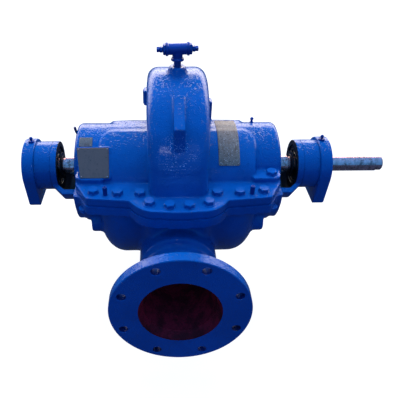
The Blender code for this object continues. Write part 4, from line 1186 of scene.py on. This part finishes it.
def makeGland(side, look):
    x0, bore, nose = look["face"], look["bore"], look["nose"]
    x1, tip = x0 + look["thickness"], x0 - look["noseLength"]
    wide, tall = look["oval"]

    def oval(t):
        return 1 / np.sqrt((np.cos(t) / wide) ** 2 + (np.sin(t) / tall) ** 2)

    noseRows = [(tip, bore), (tip, nose - 0.001), (tip + 0.001, nose), (x0 + 0.001, nose), (x0 + 0.001, bore)]
    collar = look["collar"]
    collarRows = [(x1 - 0.001, bore), (x1 - 0.001, collar), (x1 + 0.0022, collar),
                  (x1 + 0.0032, collar - 0.001), (x1 + 0.0032, bore)]
    shells = [polarPlate(oval, bore, x0, x1, 0.0016, 180, 5), latheShell(noseRows, 120, loop=True),
              latheShell(collarRows, 120, loop=True)]
    r, (flats, height) = look["stud"], look["nut"]
    end = [(x1 + 0.004, r), (x1 + 0.0115, r), (x1 + 0.0125, r - 0.001)]
    root = [(x0 - 0.008, r), (x0 + 0.002, r)]
    for y in (-look["studs"], look["studs"]):
        shells.append(turnedShell(hexShell(flats, 0, height, 0.0009, 0.0006), towardsX, (x1 - 0.0002, y, 0)))
        shells += [latheShell(rows, 32, "x", (0, y, 0)) for rows in (end, root)]
    name, node = "glandFollower_" + side, "gland_follower_" + side
    # The follower takes the dark oily cover: oil stain with painted shade
    addShells(name, sideShells(side, shells), [oilyCoverAndShade], "casing", [node], 40)


# Grease nipple: hexagon, waist and ball head
nippleLook = {
    "inset": 0.005, "sunk": 0.0004, "waist": (0.0029, 0.0068), "ball": (0.0112, 0.0047),
    "hexagon": (0.0145, 0.0049),
}


# Rows of a ball head on a waist: its centre stands at a height, and its top is almost closed
def ballRows(centre, radius):
    a = np.linspace(-0.9, math.pi / 2 - 0.05, 14)
    return list(zip(centre + radius * np.sin(a), radius * np.cos(a)))


def makeNipple(side, look):
    place = (sum(blockLook["span"]) / 2 - look["inset"], 0, 0)
    seat = blockLook["radius"] - look["sunk"]
    waist, height = look["waist"]
    rise, ball = look["ball"]
    flats, thick = look["hexagon"]
    rows = [(seat - 0.005, waist), (seat + height, waist)] + ballRows(seat + rise, ball)
    shells = [latheShell(rows, 40, "z", place),
              turnedShell(hexShell(flats, seat, seat + thick, 0.0009), np.eye(3), place)]
    name, node = "greaseNipple_" + side, "grease_nipple_" + side
    addShells(name, sideShells(side, shells), [fittingEnamel], "casing", [node], 40)


for side in ("left", "right"):
    makeBracket(side, bracketLook)
    makeBlock(side, blockLook)
    makeEndCover(side, blockLook)
    makeInnerCover(side, blockLook)
    makeGland(side, glandLook)
    makeNipple(side, nippleLook)
print("bearing ends made")


# Rotor: turned shaft with its keyway, key, sleeves and slinger rings
shaftLook = {
    "rear": -0.406, "radius": 0.020, "shoulder": 0.419, "drive": 0.0195, "end": 0.569,
    "relief": [(0.3075, 0), (0.3085, 0.0006), (0.3105, 0.0006), (0.3115, 0)],  # place, depth of a thin groove
    "centreDrill": [(0, 0.0050), (0.003, 0.0030), (0.006, 0.0004)],  # depth from the end, radius
    "endChamfer": 0.0025, "key": (0.134, 0.010, 0.0065), "keyGap": 0.009,
    "sleeve": (0.215, 0.306, 0.0230), "clearance": 0.0003,
    "slinger": (0.3125, 0.3185),
    "slingerRows": [(0, 0.0255), (0.0018, 0.0275), (0.0018, 0.034), (0.0024, 0.036), (0.0044, 0.036),
                    (0.0054, 0.0348), (0.0054, 0.027), (0.0060, 0.0255)],
}


# Key's outline in (x, y): a straight bar with half round ends, grown by a margin
def keyOutline(look, grow):
    length, width = look["key"][:2]
    t = np.linspace(0, tau, 48, endpoint=False)
    straight, wide = (length - width) / 2, width / 2 + grow
    outline = np.column_stack([straight * np.sign(np.cos(t)) + wide * np.cos(t), wide * np.sin(t)])
    return outline + (look["end"] - look["keyGap"] - length / 2, 0)


def makeShaft(look):
    r, d, end, rear, step = look["radius"], look["drive"], look["end"], look["rear"], look["shoulder"]
    relief = [(x, r - depth) for x, depth in look["relief"]]
    chamfer = look["endChamfer"]
    profile = [(rear, r - 0.002), (rear + 0.002, r)] + relief + [
        (step - 0.001, r), (step, r - 0.001), (step, d), (end - chamfer, d), (end, d - chamfer)]
    profile += [(end - deep, radius) for deep, radius in look["centreDrill"]]
    height = look["key"][2]
    slot = prismShell(keyOutline(look, 0.0003), [(-d - 0.01, 0), (-d + height / 2 + 0.0003, 0)])
    mesh = cutMesh(putMesh("pumpShaft", [latheShell(profile, 144)]), [[slot]], "EXACT")
    addPiece("pumpShaft", mesh, [shaftSteel], "rotor", ["shaft"], 30, marks=False)
    rows = [(-d - height / 2, 0.0006), (-d - height / 2 + 0.0006, 0), (-d + height / 2, 0)]
    key = prismShell(keyOutline(look, -0.0002), rows)
    addShells("shaftKey", [key], [rivetSteel], "rotor", ["shaft_key"], 30)


def makeShaftRings(side, look):
    bore = look["radius"] + look["clearance"]
    x0, x1, r = look["sleeve"]
    rows = [(x0, bore), (x0, r), (x1 - 0.0008, r), (x1, r - 0.0008), (x1, bore)]
    sleeve, node = sideShells(side, [latheShell(rows, 144, loop=True)]), "shaft_sleeve_" + side
    addShells("shaftSleeve_" + side, sleeve, [shaftSteel], "rotor", [node], 30)
    x0, x1 = look["slinger"]
    rows = [(x0, bore)] + movedRows(look["slingerRows"], x0) + [(x1, bore)]
    slinger, node = sideShells(side, [latheShell(rows, 120, loop=True)]), "slinger_ring_" + side
    addShells("slingerRing_" + side, slinger, [oilyCoverAndShade], "rotor", [node], 30)


makeShaft(shaftLook)
for side in ("left", "right"):
    makeShaftRings(side, shaftLook)
print("rotor made")


# Vent tree: pipe nipple, banded tee, hexagon bushings and square-headed plugs
ventLook = {
    "voxel": 0.00075, "smoothing": 2, "fillet": 10, "swell": 0.00005,
    "depth": 0.030, "seat": 0.270, "height": 0.3134, "run": 0.059, "band": 0.0058, "drop": 0.028, "turn": 4.0,
    "pipe": 0.0098, "tee": 0.0138, "collar": 0.0165, "socket": 0.0093, "hexagon": 0.0246,
    "pipeThread": (0.0018, 0.0004, 0.00045), "bushingThread": (0.0016, 0.0089, 0.0004),
    "bushing": (0.0003, 0.0062), "plug": (0.0066, 0.0150), "plugHexagon": 0.0132,
    "square": 0.0046, "squareTurn": 0.4, "squareRows": [(0.0140, 1.0), (0.0212, 1.0), (0.0219, 0.86)],
}


# Rotation about the upright axis, by an angle in degrees
def turnedUp(degrees):
    a = math.radians(degrees)
    return np.array([[math.cos(a), -math.sin(a), 0], [math.sin(a), math.cos(a), 0], [0, 0, 1]])


def ventPlaced(shells, look):
    return [turnedShell(shell, turnedUp(look["turn"]), (0, look["depth"], 0)) for shell in shells]


# Band of a malleable fitting: the radius swells over a quarter round at both sides of the collar
def bandRows(x0, x1, high, rounding=0.0018):
    a = np.linspace(0, math.pi / 2, 5)
    rise = list(zip(x0 + rounding * (1 - np.cos(a)), high - rounding * (1 - np.sin(a))))
    fall = list(zip(x1 - rounding * (1 - np.cos(a[::-1])), high - rounding * (1 - np.sin(a[::-1]))))
    return rise + fall


def makeVentTee(look):
    run, half = look["height"], look["run"] / 2
    band, tee, collar, drop = look["band"], look["tee"], look["collar"], look["drop"]
    left = bandRows(-half, -half + band, collar)
    along = half - band - 0.0008
    profile = [(-half, collar - 0.004)] + left + [(-along, tee), (along, tee)]
    profile += [(-x, r) for x, r in reversed(left)] + [(half, collar - 0.004)]
    stem = [(run - drop, collar - 0.004)] + movedRows(bandRows(-drop, -drop + band, collar), run)
    stem += [(run - drop + band + 0.0008, tee - 0.001), (run - 0.002, tee - 0.001)]
    shells = ventPlaced([latheShell(profile, 96, "x", (0, 0, run)), latheShell(stem, 96, "z")], look)
    mesh = castMesh("ventTee", shells, look)
    pipe, socket = look["pipe"] + 0.0004, look["socket"]
    tools = [latheShell([(run - drop - 0.01, pipe), (run - drop + 0.006, pipe)], 64, "z")]
    for sx in (-1, 1):
        rows = [(sx * (half - 0.009), socket), (sx * (half + 0.01), socket)]
        tools.append(latheShell(rows, 64, "x", (0, 0, run)))
    mesh = cutMesh(mesh, [ventPlaced([tool], look) for tool in tools])
    addPiece("ventTee", mesh, [fittingEnamel], "casing", ["vent_tee"], 40)


# Depth of a thread along a pipe: a triangle wave of a given pitch
def threadWave(along, pitch):
    return np.abs(((along / pitch) % 1) * 2 - 1)


def makeVentNipple(look):
    z = np.linspace(look["seat"] - 0.0115, look["height"] - look["drop"] + 0.0045, 90)
    pitch, clearance, deep = look["pipeThread"]
    rows = np.column_stack([z, look["pipe"] - clearance - deep * threadWave(z, pitch)])
    shells = [latheShell(rows, 72, "z", (0, look["depth"], 0))]
    addShells("ventNipple", shells, [fittingEnamel], "casing", ["vent_nipple"], 50)


# Bushing: threads inside the tee and a hexagon against its face
def bushingShells(look):
    half = look["run"] / 2
    x = np.linspace(half - 0.008, half + 0.002, 40)
    pitch, radius, deep = look["bushingThread"]
    threads = latheShell(np.column_stack([x, radius - deep * threadWave(x, pitch)]), 64)
    start, end = look["bushing"]
    hexagon = hexShell(look["hexagon"], half + start, half + end, 0.0012, 0.0010)
    return [threads, turnedShell(hexagon, towardsX)]


# Plug: a small hexagon, and a square head whose radius is the half width over the larger of |cos| and |sin|
def plugShells(look):
    half = look["run"] / 2
    start, end = look["plug"]
    shoulder = hexShell(look["plugHexagon"], half + start, half + end, 0.0016, 0.0016)
    t = np.linspace(0, tau, 64, endpoint=False)
    r = look["square"] / np.maximum(np.abs(np.cos(t)), np.abs(np.sin(t))) ** 0.94
    y, z = r * np.cos(t + look["squareTurn"]), r * np.sin(t + look["squareTurn"])
    rows = movedRows(look["squareRows"], half)
    grid = np.array([np.column_stack([np.full(64, x), share * y, share * z]) for x, share in rows])
    return [turnedShell(shoulder, towardsX), ringShell(grid)]


def makeVentEnds(side, look):
    for name, node, shells in (("ventBushing_", "vent_bushing_", bushingShells(look)),
                               ("ventPlug_", "vent_plug_", plugShells(look))):
        lifted = [(points + (0, 0, look["height"]), quads, caps) for points, quads, caps in shells]
        placed = ventPlaced(sideShells(side, lifted), look)
        addShells(name + side, placed, [fittingEnamel], "casing", [node + side], 32)


makeVentTee(ventLook)
makeVentNipple(ventLook)
for side in ("left", "right"):
    makeVentEnds(side, ventLook)
print("vent tree made")


# Plates: square one on its pad, and two strips that follow the lobes
plateFaces = {
    "squareEdge": 0.0011, "squareRound": 0.0022, "thickness": 0.0020, "lift": 0.0003,
    "rivetInset": 0.0040, "rivet": (0.0017, 0.0011),
    "curved": {
        "x": (0.1025, 0.1560), "angles": (19.0, 115), "round": 0.003,
        "name": "curvedPlate", "node": "curved_plate",
    },
    "small": {
        "x": (-0.2525, -0.2185), "angles": (46.9, 63.6), "round": 0.0015,
        "name": "smallPlate", "node": "small_plate",
    },
    "stripThickness": 0.0015, "stripSeat": 0.00045, "stripEdge": 0.0004, "stripPitch": 0.003,
    "stripRivet": (0.0011, 0.0005), "stripInset": 0.0045,
}


# Rivet head: a low dome about +X, a quarter ellipse turned round
def rivetShell(radius, height, sides=28):
    a = np.linspace(math.pi / 2, 0.02, 7)
    return latheShell([(-0.0005, radius)] + list(zip(height * np.cos(a), radius * np.sin(a))), sides)


def makeSquarePlate(look):
    near = -look["lift"] - look["thickness"]
    shell = plateShell(upperLook, 0, near, -look["lift"], look["squareRound"], look["squareEdge"])
    metal = plateMetal("squarePlate")
    addShells("squarePlate", [shell], [metal], "casing", ["square_plate"], 30)
    top, foot, half = upperLook["plateHalf"]
    inset = look["rivetInset"]
    corners = [(top - inset, half - inset), (inset - top, half - inset), (foot - inset, inset - half),
               (inset - foot, inset - half)]
    shells = []
    for x, z in corners:
        points, quads, caps = rivetShell(*look["rivet"])
        flat = np.column_stack([points[:, 1] + x, -points[:, 0] + near, points[:, 2] + z])
        shells.append((onPlate(flat), quads, caps))
    addShells("squarePlateRivets", shells, [rivetSteel], "casing", sharp=50)


# Rectangle with quarter round corners, its sides divided into short steps
def stripOutline(across, along, r, pitch):
    a = np.linspace(0, math.pi / 2, 6)
    outline = []
    for k, (sx, sy) in enumerate(((1, 1), (-1, 1), (-1, -1), (1, -1))):
        turn = a + k * math.pi / 2
        outline += list(zip(sx * (across - r) + r * np.cos(turn), sy * (along - r) + r * np.sin(turn)))
    outline = np.array(outline)
    ahead = np.roll(outline, -1, 0)
    count = np.maximum(1, np.ceil(np.linalg.norm(ahead - outline, axis=1) / pitch)).astype(int)
    parts = [p + (q - p) * (np.arange(n) / n)[:, None] for p, q, n in zip(outline, ahead, count)]
    return np.concatenate(parts)


# Strip on the lobe's surface: across it runs X, along it the surface's angle; rings shrink towards its middle
def makeStrip(look, faces):
    x0, x1 = look["x"]
    start, end = np.radians(look["angles"])
    middle, centre, thick = (x0 + x1) / 2, (start + end) / 2, faces["stripThickness"]
    y, z = lobePoint(middle, math.pi - centre)
    length = math.hypot(y, z - upperLook["bandCentre"]) * (end - start)
    across, along = (x1 - x0) / 2, length / 2
    outline = stripOutline(across, along, look["round"], faces["stripPitch"])
    steps = np.linspace(0.04, 0.96, 12)
    rows = [(share, thick) for share in steps] + [(1.0, thick - faces["stripEdge"]), (1.0, 0)]
    rows += [(share, 0) for share in steps[::-1]]
    rings = []
    for share, lift in rows:
        u = middle + outline[:, 0] * share
        t = centre + outline[:, 1] * share / along * (end - start) / 2
        y, z = lobePoint(u, math.pi - t, lift + faces["stripSeat"])
        rings.append(np.column_stack([u, y, z]))
    metal, name = plateMetal(look["name"]), look["name"]
    addShells(name, [ringShell(np.array(rings))], [metal], "casing", [look["node"]], 30)
    shells, inset = [], faces["stripInset"]
    for sx in (-1, 1):
        for st in (-1, 1):
            u = middle + sx * (across - inset)
            t = centre + st * (along - inset) / along * (end - start) / 2
            low, place, high = (np.array([u, *lobePoint(u, math.pi - angle, thick + faces["stripSeat"])])
                                for angle in (t - 0.01, t, t + 0.01))
            normal = np.array([0, low[2] - high[2], high[1] - low[1]])
            shells.append(turnedShell(rivetShell(*faces["stripRivet"], 20), turnTo(normal), place))
    addShells(name + "Rivets", shells, [rivetSteel], "casing", sharp=50)


makeSquarePlate(plateFaces)
makeStrip(plateFaces["curved"], plateFaces)
makeStrip(plateFaces["small"], plateFaces)
print("plates made")


# Split flange fasteners: hexagon bolts, taper pins, and nuts on the four corners
fastenerLook = {
    "flats": 0.024, "head": 0.0100, "washer": 0.56, "wideWasher": 0.70, "wideAt": 0.071, "washerStep": 0.0010,
    "bolts": [(0.210, -0.168), (0.150, -0.175), (0.095, -0.177), (0.071, -0.216), (0.023, -0.228),
              (0.210, 0.168), (0.150, 0.176), (0.098, 0.180), (0.028, 0.278)],
    "padBolts": [(0.237, -0.1145), (0.237, 0.1145), (-0.237, 0.1145)],
    "nuts": (0.238, 0.163), "nutTurn": 11, "firstTurn": 7, "nextTurn": 23,
    "pin": 0.0056, "pinX": 0.180, "pinDepth": 0.018, "pinFront": (-0.177, 0.022), "pinRear": (0.170, 0.014),
}


# Washer and hexagon head on a seat, the head turned by an angle in degrees
def boltShells(x, y, seat, look, turn):
    outer = look["flats"] * (look["wideWasher"] if abs(x) == look["wideAt"] else look["washer"])
    step = look["washerStep"]
    rows = [(seat - 0.0006, outer + 0.0006), (seat + step, outer), (seat + step + 0.0006, outer - 0.0010)]
    head = hexShell(look["flats"], seat + step, seat + step + look["head"], 0.0016)
    return [latheShell(rows, 48, "z", (x, y, 0)), turnedShell(head, turnedUp(turn), (x, y, 0))]


def makeBolts(look):
    shells, turn = [], look["firstTurn"]
    places = [(sx * x, y, splitFlange["thickness"]) for sx in (-1, 1) for x, y in look["bolts"]]
    places += [(x, y, upperLook["padTop"]) for x, y in look["padBolts"]]
    for x, y, seat in places:
        shells += boltShells(x, y, seat, look, turn)
        turn = (turn + look["nextTurn"]) % 60
    addShells("splitFlangeBolts", shells, [blueEnamel], "casing", sharp=28, marks=True)


# Nuts under the lower flange: the bolt's shells turned upside down about X
def makeNuts(look):
    shells, (x, y) = [], look["nuts"]
    upsideDown = np.diag((1.0, -1.0, -1.0))
    for sx in (-1, 1):
        for sy in (-1, 1):
            nut = boltShells(0, 0, splitFlange["thickness"], look, look["nutTurn"])
            shells += [turnedShell(shell, upsideDown, (sx * x, sy * y, 0)) for shell in nut]
    addShells("splitFlangeNuts", shells, [blueEnamel], "casing", sharp=28, marks=True)


# Taper pin with a tapped hole in its top
def makePin(end, side, look):
    y, rise = look["pinFront"] if end == "front" else look["pinRear"]
    x = -look["pinX"] if side == "left" else look["pinX"]
    z, r, foot = splitFlange["thickness"] + rise, look["pin"], -look["pinDepth"]
    rows = [(foot + 0.0003, r - 0.0005), (foot + 0.001, r), (z - 0.001, r), (z, r - 0.0009), (z, 0.0022),
            (z - 0.004, 0.0020), (z - 0.0045, 0.0004)]
    shells, name, node = [latheShell(rows, 40, "z", (x, y, 0))], "splitPin_", "split_pin_"
    ending = end + "_" + side
    addShells(name + ending, shells, [fittingEnamel], "casing", [node + ending], 30)


makeBolts(fastenerLook)
makeNuts(fastenerLook)
for end in ("front", "rear"):
    for side in ("left", "right"):
        makePin(end, side, fastenerLook)


# Small fittings: a bent peg at the left lobe's upper corner, and a ball-headed plug on the right lobe
lobeFittings = {
    "pegFoot": (-0.2645, 0.098), "pegLength": 0.0200, "pegLean": 0.0052, "peg": 0.0034,
    "plug": (0.203, 0.036), "plugSunk": 0.001, "plugFoot": (0.0052, 0.0030), "plugWaist": 0.0030,
    "plugBall": (0.0120, 0.0046),
}


# Round bar carried along a smooth curve: each ring lies square to the curve's direction
def curvedBar(path, radius, sides=24):
    path = np.asarray(path, float)
    ahead = np.gradient(path, axis=0)
    ahead /= np.linalg.norm(ahead, axis=1, keepdims=True)
    across = np.cross(ahead, (0, 1.0, 0))
    across /= np.linalg.norm(across, axis=1, keepdims=True)
    other = np.cross(ahead, across)
    t = np.linspace(0, tau, sides, endpoint=False)[None, :, None]
    r = np.broadcast_to(np.asarray(radius, float), len(path))[:, None, None]
    return ringShell(path[:, None] + r * (across[:, None] * np.cos(t) + other[:, None] * np.sin(t)))


def makeLobePeg(look):
    s = np.linspace(0, 1, 26)
    x, z = look["pegFoot"]
    bend = np.column_stack([x - look["pegLean"] * (1 - (1 - s) ** 1.8), 0 * s, z + look["pegLength"] * s])
    bar = curvedBar(bend, look["peg"] * np.where(s > 0.97, 0.75, 1.0))
    addShells("lobePeg", [bar], [coverEnamel], "casing", ["lobe_peg"], 40)


def makeLobePlug(look):
    x, y = look["plug"]
    foot, footHeight = look["plugFoot"]
    rise, ball = look["plugBall"]
    slope = math.sqrt(1 - (y / upperLook["bandDepth"]) ** 2)
    seat = upperLook["bandCentre"] + upperLook["bandRise"] * slope - look["plugSunk"]
    rows = [(seat, foot), (seat + footHeight, foot), (seat + footHeight + 0.0006, look["plugWaist"])]
    rows += ballRows(seat + rise, ball)
    shells = [latheShell(rows, 40, "z", (x, y, 0))]
    addShells("lobePlug", shells, [fittingEnamel], "casing", ["lobe_plug"], 40)


makeLobePeg(lobeFittings)
makeLobePlug(lobeFittings)
print("fasteners and fittings made")


# Every node's own mesh is hidden by a piece; a node left showing would be an oversight
shown = [name for name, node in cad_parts.items() if not node.hide_render]
print("CAD nodes left showing:", shown)


# Studio: pale floor seen by the camera alone, dim blue sky, and one bright soft band of sky behind the pump
studioLook = {
    "floor": (0.15, 0.15, 0.155), "glow": (0.92, 0.92, 0.925), "glowStrength": 1.0,
    "top": (0.06, 0.46, 1.14), "front": (0.05, 0.36, 0.84), "ground": (0.040, 0.062, 0.115),
    "strip": (0.25, 0.85, 1.9), "stripSpan": (-0.04, 0.04, 0.16, 0.26), "stripSide": (0.03, 0.06, 0.16, 0.21),
    "band": (6.0, 5.3, 4.7), "bandSpan": (-0.16, 0.34, 0.49, 0.53), "bandSide": (0.20, 0.60),
    "glint": {"place": (0.045, -1.90, 1.45), "aim": (0, -0.16, 0.565), "size": (0.16, 0.16), "power": 0.9},
    "panel": {"place": (0.0, 0.75, 2.7), "aim": (0, 0, 0.4), "size": (2.6, 2.2), "power": 75.0},
}


# Share that rises between the first two limits and falls between the last two
def between(tree, value, span):
    low, start, end, high = span
    return times(tree, stepped(tree, value, low, start), stepped(tree, value, end, high, 1.0, 0.0))


def makeWorld(look):
    world = bpy.data.worlds.new("studioSky")
    bpy.context.scene.world = world
    world.use_nodes = True
    tree = world.node_tree
    tree.nodes.clear()
    ray = addNode(tree, "ShaderNodeTexCoord").outputs["Generated"]
    split = addNode(tree, "ShaderNodeSeparateXYZ", {"Vector": ray}).outputs
    colour = mixColours(tree, stepped(tree, split["Z"], -0.04, 0.06), look["ground"], look["front"])
    colour = mixColours(tree, stepped(tree, split["Z"], 0.35, 0.9), colour, look["top"])
    strip = times(tree, between(tree, split["Z"], look["stripSpan"]), stepped(tree, split["Y"], 0.2, -0.3))
    aside = calculate(tree, "ABSOLUTE", split["X"])
    strip = times(tree, strip, between(tree, aside, look["stripSide"]))
    colour = mixColours(tree, strip, colour, look["strip"])
    behind = stepped(tree, split["Y"], *look["bandSide"])
    band = times(tree, between(tree, split["Z"], look["bandSpan"]), behind)
    colour = mixColours(tree, band, colour, look["band"])
    sky = addNode(tree, "ShaderNodeBackground", {"Color": colour, "Strength": 1.0})
    plain = addNode(tree, "ShaderNodeBackground", {"Color": (1.0, 1.0, 1.0, 1.0), "Strength": 1.0})
    seen = addNode(tree, "ShaderNodeLightPath").outputs["Is Camera Ray"]
    mixed = addNode(tree, "ShaderNodeMixShader", {0: seen, 1: sky.outputs[0], 2: plain.outputs[0]})
    addNode(tree, "ShaderNodeOutputWorld", {"Surface": mixed.outputs[0]})


# Area light: the overhead panel is kept out of reflections, and the small front one shows in them alone
def addPanel(name, look, glossy):
    data = bpy.data.lights.new(name, "AREA")
    data.shape, data.energy = "RECTANGLE", look["power"]
    data.size, data.size_y = look["size"]
    panel = bpy.data.objects.new(name, data)
    aim = Vector(look["aim"]) - Vector(look["place"])
    panel.matrix_world = Matrix.Translation(look["place"]) @ aim.to_track_quat("-Z", "Y").to_matrix().to_4x4()
    panel.visible_glossy, panel.visible_diffuse = glossy, not glossy
    panel.visible_camera = False
    bpy.context.scene.collection.objects.link(panel)


def makeStudio(look):
    outline = np.array([(-14, -14, 0), (14, -14, 0), (14, 22, 0), (-14, 22, 0)], float)
    mesh = bpy.data.meshes.new("floor")
    mesh.from_pydata(outline.tolist(), [], [(0, 1, 2, 3)])
    floor = addObject("floor", mesh)
    floor.location.z = -0.0004
    made, tree, shader = newMaterial("floorPaint")
    coords = objectCoords(tree)
    tone = stepped(tree, grainNoise(tree, coords, 0.6, 3.0), 0.3, 0.7)
    darker = tuple(c * 0.97 for c in look["floor"])
    tree.links.new(mixColours(tree, tone, look["floor"], darker), shader.inputs["Base Color"])
    shader.inputs["Emission Color"].default_value = (*look["glow"], 1.0)
    shader.inputs["Emission Strength"].default_value = look["glowStrength"]
    shader.inputs["Roughness"].default_value = 0.9
    mesh.materials.append(made)
    floor.visible_diffuse = floor.visible_glossy = floor.visible_transmission = False
    makeWorld(look)
    addPanel("overheadPanel", look["panel"], False)
    addPanel("frontGlint", look["glint"], True)
    scene = bpy.context.scene
    scene.view_settings.view_transform = "Standard"
    scene.view_settings.look = "None"


makeStudio(studioLook)
print("studio made")
